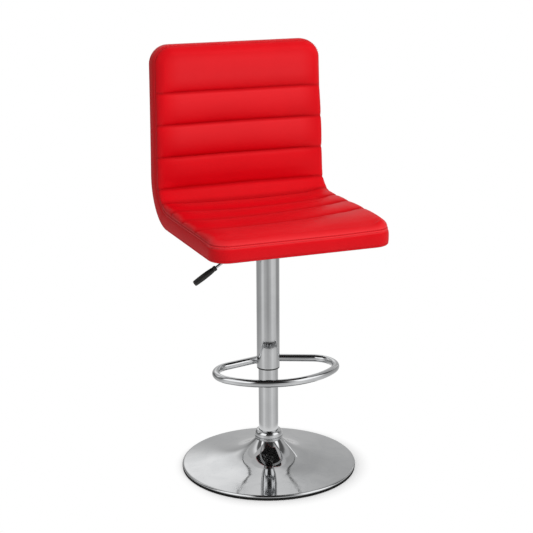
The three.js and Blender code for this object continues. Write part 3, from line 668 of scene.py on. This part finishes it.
# ---- lever
LEVER_HEIGHT = 517
LEVER_ELBOW = -41.5
LEVER_BEND = 12
LEVER_DROP = 32
LEVER_RADIUS = 3
GRIP_START = 90.5
GRIP_LENGTH = 58
GRIP_PROFILE = [
    (0, 2), (3.2, 2), (3.2, 0.2), (3.6, 0), (4.5, 0), (5.4, 0.5), (5.75, 1.4), (5.8, 2.4),
    (5.75, 5), (5.35, 6), (5.3, 7.6), (5.7, 10), (6.15, 15), (6.5, 21), (6.75, 28),
    (6.8, 35), (6.7, 43), (6.45, 50), (6.2, 54.5),
]
ROD_START = 3
ROD_IN_GRIP = 45


def build_lever():
    drop = radians(LEVER_DROP)
    down = Vector((-math.cos(drop), 0, -math.sin(drop)))
    tangent = LEVER_BEND * math.tan(drop / 2)
    bend = LEVER_ELBOW + tangent
    rod = Bar(LEVER_RADIUS, (ROD_START, 0, LEVER_HEIGHT), (-1, 0, 0), 24)
    rod.straight((bend - ROD_START, 0, 0))
    rod.turn((bend, 0, LEVER_HEIGHT - LEVER_BEND), (0, 1, 0), -LEVER_DROP, 10)
    rod.straight(down * (GRIP_START + ROD_IN_GRIP - tangent))
    rod.close()
    piece("lever_stem", rod.bm, "chrome", "lever", ["lever_rod"])
    tip = quarter((3.6, GRIP_LENGTH - 2.6), (2.55, 2.6), 0, 90, 7) + [(0, GRIP_LENGTH)]
    grip = turned(GRIP_PROFILE + tip, 40)
    centre = Vector((LEVER_ELBOW, 0, LEVER_HEIGHT)) + down * GRIP_START
    lie = Vector((0, 0, 1)).rotation_difference(down).to_matrix().to_4x4()
    bmesh.ops.transform(grip, matrix=Matrix.Translation(centre * MM) @ lie, verts=grip.verts)
    piece("lever_handle", grip, "black_plastic", "lever", ["lever_grip"])


build_lever()


# ---- seat line
SEAT_WIDTH = 392.3
HALF_WIDTH = SEAT_WIDTH / 2
SEAT_OVERHANG = 210.3
SEAT_RUN = 307.2
SEAT_CORNER = 38
BEND_RADIUS = 53
BEND_LENGTH = BEND_RADIUS * math.pi / 2
BACK_RISE = 285.6
BACK_LEAN = radians(2.4)
BACK_TAPER = 4
SEAT_TOP = 583.1
SEAT_LENGTH = SEAT_RUN + BEND_LENGTH + BACK_RISE
SEAT_DEPTH = 49.3


def sit(across, along, depth):
    """The point at a depth behind the sitting surface, across and along it in millimetres."""
    flat = min(along, SEAT_RUN)
    turn = min(max((along - SEAT_RUN) / BEND_RADIUS, 0), math.pi / 2)
    climb = max(along - SEAT_RUN - BEND_LENGTH, 0)
    lean = climb * BACK_LEAN / BACK_RISE
    angle = turn - lean
    y = -SEAT_OVERHANG + flat + BEND_RADIUS * math.sin(turn) + climb * lean / 2
    z = SEAT_TOP + BEND_RADIUS * (1 - math.cos(turn)) + climb
    narrow = 1 - climb / BACK_RISE * 2 * BACK_TAPER / SEAT_WIDTH
    return Vector((across * narrow, y + depth * math.sin(angle),
                   z - depth * math.cos(angle))) * MM


# ---- upholstery
PANEL_INSET = 20
SEAM_INSET = 2.4
SEAM_DEPTH = 11.4
SHOULDER_STEPS = 9
CREASES = [122, 203, 270, 331.5, 368, 436, 506, 575]
GROOVES = [4.6, 4.2, 3.4, 2.4, 4.0, 3.8, 3.8, 3.8]
BOWS = [0.6, 0.8, 0.8, 1.0, 1.5, 0.8, 0.6, 0.6]
ROLLS = list(zip([-14, *CREASES], [*CREASES, SEAT_LENGTH + 12]))
SHOULDER_REACH = (HALF_WIDTH - 52, HALF_WIDTH - 18)
# inset and depth of the welt, the side band, its hem and the tuck into the pocket below,
# and which of these steps past the seam are the welt, its lower seam, the hem and the tuck
BOXING = [
    (2.9, 11.7), (1.3, 12.6), (0.7, 14.0), (1.3, 15.2), (2.0, 15.7), (1.2, 16.4), (0.0, 18.0),
    (-0.9, 22.0), (-1.2, 29.0), (-1.2, 36.0), (-0.9, 42.8), (0.1, 44.0), (-0.8, 45.2),
    (0.4, 47.6), (3.2, 49.1), (6.8, 49.6), (10.0, 49.4), (11.4, 48.2), (11.7, 44.0),
]
WELT = (2, 3, 4)
WELT_SEAM = 5
HEM = 12
TUCK = 15
LEVELS = SHOULDER_STEPS + len(BOXING) + 1
FLOOR_INSET = 12.4
FLOOR_DEPTH = 41.2
PANEL_JOINT_TURN = 52


def smooth_step(value, low, high):
    share = min(max((value - low) / (high - low), 0), 1)
    return share * share * (3 - 2 * share)


def fade(value, low, high):
    return 1 - smooth_step(value, low, high)


def fullness(along):
    """How squarely the padding fills out its side seam: softer at the front and the top."""
    body = 0.35 + 0.65 * smooth_step(along, 20, 135)
    bend = 0.32 * math.exp(-((along - 338) / 62) ** 2)
    return (body + bend) * fade(along, 470, 620)


def roll_at(along):
    """Where the roll of padding there starts and ends."""
    return next(roll for roll in ROLLS if along <= roll[1])


def swell(along):
    """Share of its crown that a roll has: none in a crease, all of it midway between two."""
    low, high = roll_at(along)
    share = (along - low) / (high - low)
    reach = abs(2 * (share ** 1.7 if low < 0 else share) - 1)
    return 1 - min(reach, 1) ** 2.3


def painted_sheen_share(across, along):
    """Share of painted sheen, a lighter colour standing in for highlight: most on the far part
    of each roll, less where people sit.
    """
    beside = smooth_step(HALF_WIDTH - abs(across), 6, 60)
    low, high = roll_at(along)
    share = (along - low) / (high - low)
    if high > SEAT_LENGTH:
        return smooth_step(share, 0.02, 0.3) * fade(share, 0.55, 0.86) * beside
    sat_on = 0.3 * smooth_step(along, 112, 132) * fade(along, 325, 336)
    dull = 0.85 * smooth_step(across, 0, 90) * fade(along, 100, 124)
    dull += 0.8 * smooth_step(along, 331, 340) * fade(along, 425, 440)
    return (smooth_step(share, 0.02, 0.8) * fade(share, 0.93, 1.0)
            * beside * (1 - sat_on) * (1 - dull))


def groove(along):
    return sum(depth * math.exp(-abs(along - place) / 3.2)
               for place, depth in zip(CREASES, GROOVES))


def crown(along, side=0):
    """Depth of the panel: creases fade out at its sides, where the padding is full."""
    full = fullness(along)
    low, high = roll_at(along)
    raised = (5.2 + 0.2 * full) * min((high - low) / 66, 1)
    share = swell(along) + 0.62 * side * (1 - swell(along))
    return groove(along) * (1 - 0.6 * side) - raised * share - 0.9 * full


def sunk(across, along):
    """The seat is sat in: low in the middle, a little lower at the left, falling in front."""
    middle = 1 - min(abs(across) / (HALF_WIDTH - PANEL_INSET), 1) ** 2.2
    front = max(1 - along / 115, 0) ** 2
    lean = (smooth_step(along, 30, 100) * fade(along, 190, 290)
            * fade(across, 120, 188) * (0.8 - 5.6 * across / HALF_WIDTH))
    return (7.0 * middle * smooth_step(along, 25, 140) * fade(along, 325, 372)
            + 9 * front * fade(across, HALF_WIDTH - 45, HALF_WIDTH - 15) + lean)


def fuller(across, along):
    """The padding stands a little higher along the right side of the seat."""
    return (2.6 * smooth_step(across, HALF_WIDTH - 60, HALF_WIDTH - 22)
            * smooth_step(along, 8, 60) * fade(along, 330, 400))


def seam_drop(across, along):
    """The front seam is sewn lower than the side seams, and the left one than the right."""
    front = (3.4 - 2.4 * smooth_step(across, 60, 185)) * fade(along, 22, 90)
    left = fade(across, -HALF_WIDTH + 6, -HALF_WIDTH + 50)
    return front + 2.4 * left * smooth_step(along, 22, 90) * fade(along, 260, 330)


def bowed(across, along):
    """Sewn creases bow a little along the seat towards their middle, and wander."""
    middle = 1 - min(abs(across) / HALF_WIDTH, 1) ** 2
    shift = 0
    for place, bow in zip(CREASES, BOWS):
        near = max(1 - abs(along - place) / 34, 0)
        wander = noise.noise(Vector((across * 0.012, place, 0.5)))
        slant = 8 * fade(place, 100, 280) * across / HALF_WIDTH
        shift += near * (bow * middle + slant + 0.7 * wander)
    return along + shift


def filled_in(places, pitch):
    """The sorted places, with even steps of at most the pitch between them."""
    places = sorted(places)
    filled = places[:1]
    for place in places[1:]:
        last = filled[-1]
        count = math.ceil((place - last) / pitch(place))
        filled += [last + (place - last) * i / count for i in range(1, count + 1)]
    return filled


def column_places():
    inner = HALF_WIDTH - SEAT_CORNER
    corner = SEAT_CORNER - PANEL_INSET
    middle = [inner * (2 * i / 34 - 1) for i in range(35)]
    side = [inner + corner * i / 5 for i in range(1, 6)]
    return [-x for x in reversed(side)] + middle + side


def row_places():
    low = PANEL_INSET
    corner = SEAT_CORNER - PANEL_INSET
    high = SEAT_LENGTH - PANEL_INSET
    rows = [low + corner * i / 5 for i in range(6)] + [high - corner * i / 5 for i in range(6)]
    for place in CREASES:
        rows += [place + step for step in (-9, -5, -2.2, 0, 2.2, 5, 9)]
    return filled_in(rows, lambda row: 4.6 if 215 < row < 430 else 7.5)


def corner_radius(along):
    return SEAT_CORNER if along < SEAT_LENGTH / 2 else SEAT_CORNER + 3


def core_of(x, y):
    """The nearest place of the core that the outline's round corners are centred on."""
    reach = HALF_WIDTH - SEAT_CORNER
    return Vector((min(max(x, -reach), reach),
                   min(max(y, SEAT_CORNER), SEAT_LENGTH - SEAT_CORNER)))


def rounded_off(off, corner):
    """Bends a square corner of that size into a round one with a radius of 1."""
    a, b = off.x / corner, off.y / corner
    return Vector((a * math.sqrt(1 - b * b / 2), b * math.sqrt(1 - a * a / 2)))


def flat_place(x, y, inset):
    """Where a grid point lies on the flat outline of that inset."""
    core = core_of(x, y)
    off = Vector((x, y)) - core
    way = rounded_off(off, SEAT_CORNER - PANEL_INSET)
    if off.x and off.y:
        extra = corner_radius(y) - SEAT_CORNER
        core -= Vector((math.copysign(extra, off.x), math.copysign(extra, off.y)))
        return core + way * (SEAT_CORNER + extra - inset)
    return core + way * (SEAT_CORNER - inset)


def shoulder(y, step):
    """The padding rolls over from the panel to its seam in a rounded shoulder."""
    full = fullness(y)
    turn = math.pi / 2 * step / SHOULDER_STEPS
    power = 1.35 - 0.62 * full
    out = math.sin(turn) ** power
    down = 1 - math.cos(turn) ** power
    return PANEL_INSET - (PANEL_INSET - SEAM_INSET) * out, down


def pucker(place, step):
    """Small gathers where the cover is eased round the bend into its side seam."""
    reach = math.exp(-((place.y - 320) / 75) ** 2) * math.sin(math.pi * step / SHOULDER_STEPS)
    wave = noise.noise(Vector((place.y / 5.5 + step * 0.22, math.copysign(3, place.x), 0)))
    return 1.5 * reach * wave


def panel_depth(x, y, level):
    """Depth of the panel there; towards its sides the rolls even out, most on the right."""
    side = smooth_step(abs(x), *SHOULDER_REACH)
    start, gain = (1.0, 0.2) if x > 0 else (0.65, 0.35)
    evened = start + gain * level / SHOULDER_STEPS
    return crown(y, side * evened) + 1.1 * side + sunk(x, y) - fuller(x, y)


def cushion_point(x, y, level):
    """Level 0 is the panel, the last one the floor of the pocket, with the rim between."""
    if level == 0:
        place = flat_place(x, y, PANEL_INSET)
        return place.x, place.y, panel_depth(place.x, y, 0)
    if level <= SHOULDER_STEPS:
        inset, down = shoulder(y, level)
        top = panel_depth(x, y, level)
        notch = groove(y) * math.sin(math.pi * down) * 0.45
        place = flat_place(x, y, inset + notch - 1.8 * fullness(y) * math.sin(math.pi * down))
        depth = top + (SEAM_DEPTH + seam_drop(x, y) - top) * down
        gather = pucker(place, level) if abs(x) > HALF_WIDTH - PANEL_INSET - 1 else 0
        return place.x, place.y, depth + gather
    if level < LEVELS:
        inset, depth = BOXING[level - SHOULDER_STEPS - 1]
        place = flat_place(x, y, inset)
        return place.x, place.y, depth + seam_drop(x, y) * fade(depth, 17, 40)
    place = flat_place(x, y, FLOOR_INSET)
    return place.x, place.y, FLOOR_DEPTH


def slab(columns, rows):
    """A closed slab with a grid line for each place; its height runs from 0 to 1."""
    bm = bmesh.new()
    bmesh.ops.create_grid(bm, x_segments=len(columns) - 1, y_segments=len(rows) - 1, size=1)
    top = bmesh.ops.extrude_face_region(bm, geom=bm.faces[:])["geom"]
    bmesh.ops.translate(bm, verts=only(bmesh.types.BMVert, top), vec=(0, 0, 1))
    return bm


def grid_place(places, share):
    """The place of the grid line at that share of the slab, from -1 to 1."""
    return places[round((share + 1) / 2 * (len(places) - 1))]


def cushion_mesh():
    columns = column_places()
    rows = row_places()
    bm = slab(columns, rows)
    walls = [edge for edge in bm.edges if abs(edge.verts[0].co.z - edge.verts[1].co.z) > 0.5]
    bmesh.ops.subdivide_edges(bm, edges=walls, cuts=LEVELS - 1, use_grid_fill=True)
    seam, sewn, polished, bound = [bm.verts.layers.float.new(name) for name in (
        "sewn_seam", "sewn", "polished", "bound")]
    for vert in bm.verts:
        level = LEVELS - round(vert.co.z * LEVELS)
        past_seam = level - SHOULDER_STEPS
        row = grid_place(rows, vert.co.y)
        across, along, depth = cushion_point(grid_place(columns, vert.co.x), row, level)
        near = min(abs(row - place) for place in CREASES)
        front = fade(along, 30, 60)
        vert[sewn] = 1 if past_seam >= 0 else 0
        # The side band below the welt's seam is a little darker all over.
        vert[seam] = 0 if past_seam < WELT_SEAM else 0.14
        # Painted sheen: by roll on the panel, faint on the side band, full along the welt and
        # doubled at the front, and in bands just above the front seam and below the welt's seam
        # at the front.
        vert[polished] = painted_sheen_share(across, along) if past_seam < 0 else 0.1
        if past_seam in WELT:
            vert[polished] = 1 + front
        if -6 <= past_seam < 0:
            vert[polished] += front * (2.4 + 0.36 * past_seam)
        if past_seam in (WELT_SEAM, WELT_SEAM + 1):
            vert[polished] += front * (WELT_SEAM + 3.5 - past_seam) * 0.5
        # Painted shade: the tuck under the front part of the seat is coloured black where it
        # lies in shade.
        vert[bound] = 1 if past_seam >= TUCK and along < SEAT_RUN + BEND_RADIUS else 0
        if past_seam < -1:
            along = bowed(across, along)
            # Dark stitched crease line, widened into painted shade round the crease: about 7.5
            # mm on the seat, 3 mm on the back.
            vert[seam] = math.exp(-(near / (7.5 - 4.5 * smooth_step(along, 300, 380))) ** 2)
            vert[sewn] = 1 if near < 0.5 else 0.5 if near < 3 else 0
        lighter = {0: 0.5, 1: 0.5, WELT_SEAM: 0.85, HEM: 0}
        if past_seam in lighter:
            vert[seam] = 0.9 - front * lighter[past_seam]
        vert.co = sit(across, along, depth)
    bmesh.ops.recalc_face_normals(bm, faces=bm.faces)
    return bm


PUFF_FRAMES = 20
PUFF_CAP = 3.2
SETTLE_ROUNDS = 10
CLOTH = {
    "quality": 6, "mass": 0.3, "tension_stiffness": 30, "compression_stiffness": 30,
    "shear_stiffness": 15, "bending_stiffness": 6, "use_pressure": True,
    "uniform_pressure_force": 4.0, "vertex_group_mass": "held", "pin_stiffness": 1,
}


def settle(mesh, moves):
    """Evens the puffed movement out over its neighbours, so that the cover lies smooth."""
    ties = [[] for _ in mesh.vertices]
    for edge in mesh.edges:
        first, second = edge.vertices
        ties[first].append(second)
        ties[second].append(first)
    held = [value.value > 0.9 for value in mesh.attributes["sewn"].data]
    for _ in range(SETTLE_ROUNDS):
        moves = [move if held[i] else
                 (move + sum((moves[k] for k in ties[i]), Vector())) / (len(ties[i]) + 1)
                 for i, move in enumerate(moves)]
    return moves


def inflate(made):
    """Cloth with air pressure puffs the panel between its seams, then is applied."""
    held = made.vertex_groups.new(name="held")
    for vert, value in zip(made.data.vertices, made.data.attributes["sewn"].data):
        held.add([vert.index], value.value, "REPLACE")
    cloth = made.modifiers.new("cloth", "CLOTH")
    for name, value in CLOTH.items():
        setattr(cloth.settings, name, value)
    cloth.settings.effector_weights.gravity = 0
    cloth.point_cache.frame_start = 1
    cloth.point_cache.frame_end = PUFF_FRAMES
    scene = bpy.context.scene
    for step in range(1, PUFF_FRAMES + 1):
        scene.frame_set(step)
    puffed = made.evaluated_get(bpy.context.evaluated_depsgraph_get()).data
    moves = []
    for vert, grown in zip(made.data.vertices, puffed.vertices):
        move = grown.co - vert.co
        moves.append(move * min(1, PUFF_CAP * MM / max(move.length, 1e-9)))
    for vert, move in zip(made.data.vertices, settle(made.data, moves)):
        vert.co = vert.co + move
    made.modifiers.clear()
    made.vertex_groups.clear()
    scene.frame_set(1)


def build_cushion():
    made = link("seat_cushion", cushion_mesh())
    inflate(made)
    smooth = made.modifiers.new("smooth", "SUBSURF")
    smooth.levels = 1
    smooth.render_levels = 1
    become_piece(made, "red_leather", "seat", ["seat_cover", "foam_pad"])
    made.data.set_sharp_from_angle(angle=math.pi)


build_cushion()


STITCH_INSET = 3.0
STITCH_DEPTH = 10.7
STITCH_PITCH = 4.6
STITCH_HALF = (1.25, 0.55, 0.42)
STITCH_LIFT = 0.4


def seam_spots():
    """Evenly spaced places, ways and outward sides along the seam that runs round the seat."""
    corner = SEAT_CORNER - STITCH_INSET
    half = HALF_WIDTH - SEAT_CORNER
    low, high = SEAT_CORNER, SEAT_LENGTH - SEAT_CORNER
    flat = []
    for cx, cy, start in ((half, low, -90), (half, high, 0), (-half, high, 90),
                          (-half, low, 180)):
        flat += quarter((cx, cy), (corner, corner), start, start + 90, 24)
    flat.append(flat[0])
    dense = []
    for (x0, y0), (x1, y1) in zip(flat, flat[1:]):
        count = max(1, math.ceil(math.hypot(x1 - x0, y1 - y0) / 2))
        dense += [(x0 + (x1 - x0) * i / count, y0 + (y1 - y0) * i / count)
                  for i in range(count)]
    line = []
    for x, y in dense:
        depth = STITCH_DEPTH + seam_drop(x, y)
        line.append((sit(x, y, depth), sit(x, y, depth) - sit(x, y, depth + 1)))
    line.append(line[0])
    walked = [0]
    for (first, _), (second, _) in zip(line, line[1:]):
        walked.append(walked[-1] + (second - first).length)
    count = round(walked[-1] / (STITCH_PITCH * MM))
    spots = []
    index = 0
    for i in range(count):
        goal = walked[-1] * i / count
        while walked[index + 1] < goal:
            index += 1
        share = (goal - walked[index]) / (walked[index + 1] - walked[index])
        first, second = line[index], line[index + 1]
        way = (second[0] - first[0]).normalized()
        up = first[1].normalized()
        spots.append((first[0].lerp(second[0], share), way, up))
    return spots


def build_stitches():
    """Thread dashes sunk into the seam, each a small rounded grain of a few faces."""
    bm = bmesh.new()
    size = Matrix.Diagonal((*(half * MM for half in STITCH_HALF), 1))
    for place, way, up in seam_spots():
        side = way.cross(up).normalized()
        out = (side * 0.6 + up * 0.5).normalized()
        across = out.cross(way).normalized()
        lie = Matrix((way, across, out)).transposed().to_4x4()
        bmesh.ops.create_icosphere(bm, subdivisions=1, radius=1, matrix=(
            Matrix.Translation(place + out * STITCH_LIFT * MM) @ lie @ size))
    made = piece("panel_stitches", bm, "red_leather", "seat", finish=FINISHES["thread"])
    made.data.set_sharp_from_angle(angle=math.pi)


build_stitches()


BACKING_INSET = 12
BACKING_THICKNESS = 8
JOINT_GAP = 0.08
STAPLE_INSET = 17
STAPLE_CROWN = 11
STAPLE_LEG = 2.4
STAPLE_WIRE = 0.45
STAPLE_TILT = radians(14)


def panel_places(low, high, corner, low_corner, high_corner):
    """Places across or along a panel, closer together where its corners are rounded."""
    places = [low, high]
    if low_corner:
        places += [low + corner * i / 8 for i in range(1, 9)]
    if high_corner:
        places += [high - corner * i / 8 for i in range(1, 9)]
    return filled_in(places, lambda place: 7.5)


def panel_mesh(start, end, rounding, belly):
    """A bent sheet with rounded corners and edges, its outer face full by belly."""
    half = HALF_WIDTH - BACKING_INSET
    corner = SEAT_CORNER - BACKING_INSET
    low, high = SEAT_CORNER, SEAT_LENGTH - SEAT_CORNER
    columns = panel_places(-half, half, corner, True, True)
    rows = panel_places(start, end, corner, start < low, end > high)
    bm = slab(columns, rows)
    for vert in bm.verts:
        across = grid_place(columns, vert.co.x)
        along = grid_place(rows, vert.co.y)
        margin = min(half - abs(across), along - start, end - along)
        core = core_of(across, along)
        off = Vector((across, along)) - core
        if off.x and off.y:
            across, along = core + rounded_off(off, corner) * corner
        out = BACKING_THICKNESS + belly * smooth_step(margin, 0, 50)
        vert.co = sit(across, along, SEAT_DEPTH - BACKING_THICKNESS + out * round(vert.co.z))
    bmesh.ops.recalc_face_normals(bm, faces=bm.faces)
    round_edges(bm, rounding, 3, 50)
    return bm


def staple_places():
    """Along both sides, round the front corners and across the front."""
    corner = SEAT_CORNER - STAPLE_INSET
    half = HALF_WIDTH - STAPLE_INSET
    end = SEAT_RUN + 28
    side = [(half, SEAT_CORNER + (end - SEAT_CORNER) * i / 7) for i in range(8)]
    turn = [(half - corner + corner * math.cos(radians(a)),
             SEAT_CORNER - corner * math.sin(radians(a))) for a in (25, 65)]
    front = [((half - corner) * i / 4, STAPLE_INSET) for i in range(-4, 5)]
    return side + turn + [(-x, y) for x, y in side + turn] + front


def staple_wire(bm, length, lie):
    bmesh.ops.create_cone(bm, cap_ends=True, segments=8, radius1=STAPLE_WIRE * MM,
                          radius2=STAPLE_WIRE * MM, depth=length * MM, matrix=lie)


def build_staples():
    """Wire staples hold the black cover to the board, a little way in from its edge."""
    bm = bmesh.new()
    for across, along in staple_places():
        place = sit(across, along, SEAT_DEPTH + 0.25)
        up = (sit(across, along, 0) - sit(across, along, 1)).normalized()
        tilt = STAPLE_TILT * noise.noise(Vector((across, along, 3)) * 0.37)
        at_side = abs(across) > HALF_WIDTH - STAPLE_INSET - 1
        way = sit(across, along + 1, 9) - sit(across, along, 9) if at_side else Vector((1, 0, 0))
        way = (Matrix.Rotation(tilt, 3, up) @ way).normalized()
        lie = (Matrix.Translation(place)
               @ Matrix((up.cross(way), up, way)).transposed().to_4x4())
        staple_wire(bm, STAPLE_CROWN, lie)
        for leg in (-5.3, 5.3):
            foot = Matrix.Translation((0, 2 * STAPLE_WIRE * MM, leg * MM))
            staple_wire(bm, STAPLE_LEG, lie @ foot @ Matrix.Rotation(math.pi / 2, 4, "X"))
    piece("cover_staples", bm, "zinc_steel", "seat")


def build_panels():
    joint = SEAT_RUN + BEND_RADIUS * radians(PANEL_JOINT_TURN)
    lower = panel_mesh(BACKING_INSET, joint - JOINT_GAP, 1.2, 0.6)
    piece("under_cover", lower, "black_felt", "seat", ["under_panel"])
    upper = panel_mesh(joint + JOINT_GAP, SEAT_LENGTH - BACKING_INSET, 2, 1.8)
    piece("back_cover", upper, "red_leather", "seat", ["back_panel"])
    build_staples()


build_panels()


# ---- stage
TOWARDS_CAMERA = Vector((CAMERA_PLACE[0], CAMERA_PLACE[1], 0)).normalized()
RIGHT_HAND = Vector((-TOWARDS_CAMERA.y, TOWARDS_CAMERA.x, 0))
FAR_FLOOR = [(0, 0.6), (0.16, 0.42), (0.27, 0.5), (0.355, 0.94), (0.42, 0.62),
             (0.5, 0.46), (0.56, 0.62), (0.615, 0.92), (0.7, 0.84), (0.78, 0.4), (1, 0.6)]
NEAR_FLOOR = [(0, 0.66), (0.16, 0.52), (0.27, 0.66), (0.36, 0.94), (0.43, 0.74),
              (0.5, 0.68), (0.56, 0.76), (0.615, 0.95), (0.7, 0.78), (0.8, 0.6), (1, 0.66)]
OUTER_FLOOR = [(0, 0.6), (0.05, 0.5), (0.1, 0.22), (0.22, 0.3), (0.31, 0.66),
               (0.42, 0.5), (0.5, 0.4), (0.58, 0.6), (0.65, 0.85), (0.75, 0.7), (1, 0.6)]
LOW_WALL = [(0, 0.6), (0.06, 0.5), (0.11, 0.2), (0.24, 0.24), (0.35, 0.9), (0.42, 0.58),
            (0.5, 0.44), (0.57, 0.68), (0.62, 0.95), (0.7, 0.88), (0.8, 0.4),
            (0.94, 0.52), (1, 0.6)]
HIGH_WALL = [(0, 0.92), (0.03, 1.18), (0.06, 1), (0.1, 0.5), (0.15, 0.6),
             (0.2, 1.1), (0.225, 0.15), (0.275, 0.15), (0.3, 1.6), (0.42, 1.6),
             (0.45, 0.03), (0.585, 0.03), (0.61, 0.4), (0.65, 1.6), (0.75, 1.6),
             (0.78, 0.12), (0.82, 0.12), (0.85, 0.6), (0.9, 0.6), (0.965, 0.52),
             (1, 0.92)]
INNER_WALL = [(0, 0.9), (0.02, 0.86), (0.05, 0.8), (0.1, 0.66), (0.3, 0.5),
              (0.42, 0.1), (0.58, 0.1), (0.7, 0.5), (0.9, 0.46), (0.95, 0.55),
              (0.98, 0.8), (1, 0.9)]
CEILING = [(0, 0.66), (0.3, 0.6), (0.38, 0.04), (0.62, 0.04), (0.7, 0.6), (1, 0.66)]
SOFT_STRENGTH = 0.48
SOFTBOX_PLACE = (0.75, -2.0, 2.75)
SOFTBOX_TARGET = (0, 0, 0.6)
SOFTBOX_SIZE = 1.8
SOFTBOX_POWER = 70
# the dark edge of the two light hoods behind, as height by place, and a bright tube lamp
HOOD_EDGE = [(0.0, 0.0), (0.084, 0.0), (0.089, 0.55), (0.097, 0.615), (0.141, 0.692),
             (0.22, 0.742), (0.309, 0.767), (0.40, 0.767), (0.48, 0.751), (0.57, 0.718),
             (0.656, 0.663), (0.73, 0.565), (0.798, 0.432), (0.869, 0.31), (0.93, 0.12),
             (1.0, 0.0)]
TUBE_LINE = [(0.17, 0.9042), (0.30, 0.9000), (0.43, 0.8984), (0.50, 0.9010), (0.55, 0.9065),
             (0.598, 0.9149)]


def way_round(finish, vector):
    """How far round from the camera side a way points: 0.5 to the front, 0 and 1 behind."""
    ahead = finish.along(vector, TOWARDS_CAMERA)
    aside = finish.along(vector, RIGHT_HAND)
    return aside.sum("ARCTAN2", aside, ahead) / FULL_TURN + 0.5


def bands(finish, factor, stops, interpolation="EASE"):
    """Levels of grey by place, eased from each stop to the next or run straight."""
    made = finish.node("ShaderNodeValToRGB", {"stops": stops}, {0: factor})
    made.color_ramp.interpolation = interpolation
    return Signal(finish, made.outputs[0])


def build_floor():
    bm = bmesh.new()
    bmesh.ops.create_circle(bm, cap_ends=True, segments=96, radius=9)
    floor = link("floor", bm)
    finish = new_finish("studio_floor")
    reach = finish.length(finish.place)
    around = way_round(finish, finish.place)
    # For glossy rays the floor glows with a painted reflection: bands of studio light by way
    # round and distance, a painted bright ring just outside the base and a painted dark ring of
    # contact shadow up to just past its rim.
    painted_floor_reflection = finish.blend(finish.ramp(reach, 0.5, 1.3), bands(finish, around, NEAR_FLOOR),
                         bands(finish, around, FAR_FLOOR))
    painted_floor_reflection = finish.blend(finish.ramp(reach, 2.05, 2.5), painted_floor_reflection,
                         bands(finish, around, OUTER_FLOOR))
    painted_floor_reflection = finish.blend(finish.ramp(reach, 0.235, 0.27), grey(1.0), painted_floor_reflection)
    painted_floor_reflection = finish.blend(finish.ramp(reach, 0.2195, 0.2265), grey(0.04), painted_floor_reflection)
    # Camera rays see white, with the lit floor and its shadow shown only close round the base,
    # and less far out on the left.
    left = finish.ramp(around, 0.32, 0.46, 1, 0) * finish.ramp(around, 0.02, 0.1)
    share = finish.ramp(reach + 0.018 * left, 0.184, 0.232)
    lit = finish.signal("ShaderNodeBsdfDiffuse", inputs={"Color": grey(0.9)})
    white = finish.glow("ShaderNodeEmission", grey(1))
    mirrored = finish.glow("ShaderNodeEmission", painted_floor_reflection)
    shown = finish.either(share * finish.ray("Camera"), lit, white)
    floor.data.materials.append(finish.out(finish.either(finish.ray("Glossy"), shown, mirrored)))


def build_world():
    world = bpy.data.worlds.new("studio")
    bpy.context.scene.world = world
    finish = Finish(world, "Generated")
    around = way_round(finish, finish.place)
    height = finish.axis(finish.place, "Z")
    room = finish.blend(finish.ramp(height, 0.22, 0.42), bands(finish, around, LOW_WALL),
                        bands(finish, around, HIGH_WALL))
    behind = 0.5 - (around - 0.5).size()
    hood = height - bands(finish, behind / 0.14, HOOD_EDGE, "LINEAR")
    near_hoods = finish.ramp(behind, 0.119, 0.128, 1, 0) * finish.ramp(height, 0.33, 0.38)
    room = finish.blend(near_hoods * finish.ramp(hood, 0, 0.02), room,
                        bands(finish, around, INNER_WALL))
    room = finish.blend(near_hoods * finish.ramp(hood.size(), 0.005, 0.016, 1, 0), room,
                        grey(0.08))
    tube = around - bands(finish, height, TUBE_LINE, "LINEAR")
    lamp = finish.ramp(tube.size(), 0.0015, 0.0035, 1, 0) * finish.ramp(height, 0.12, 0.2)
    lamp = lamp * finish.ramp(height, 0.60, 0.62, 1, 0)
    room = finish.blend(lamp, room, grey(1.6))
    room = finish.blend(finish.ramp(height, 0.835, 0.85), room,
                        bands(finish, around, CEILING))
    soft = finish.glow("ShaderNodeBackground", grey(1), SOFT_STRENGTH)
    plain = finish.glow("ShaderNodeBackground", grey(1))
    studio = finish.glow("ShaderNodeBackground", room)
    lit = finish.either(finish.ray("Glossy"), soft, studio)
    clear = (finish.ray("Camera") + finish.ray("Transmission")).at_most(1)
    finish.out(finish.either(clear, lit, plain), "ShaderNodeOutputWorld")


def hang_softbox():
    """The one lamp: a square softbox over the front right, aimed at the middle of the stool."""
    lamp = link("key", bpy.data.lights.new("key", "AREA"))
    lamp.data.shape = "SQUARE"
    lamp.data.size = SOFTBOX_SIZE
    lamp.data.energy = SOFTBOX_POWER
    lamp.visible_glossy = False
    way = Vector(SOFTBOX_TARGET) - Vector(SOFTBOX_PLACE)
    lamp.matrix_world = (Matrix.Translation(SOFTBOX_PLACE)
                         @ way.to_track_quat("-Z", "Y").to_matrix().to_4x4())


build_floor()
build_world()
hang_softbox()

scene = bpy.context.scene
scene.view_settings.view_transform = "Standard"
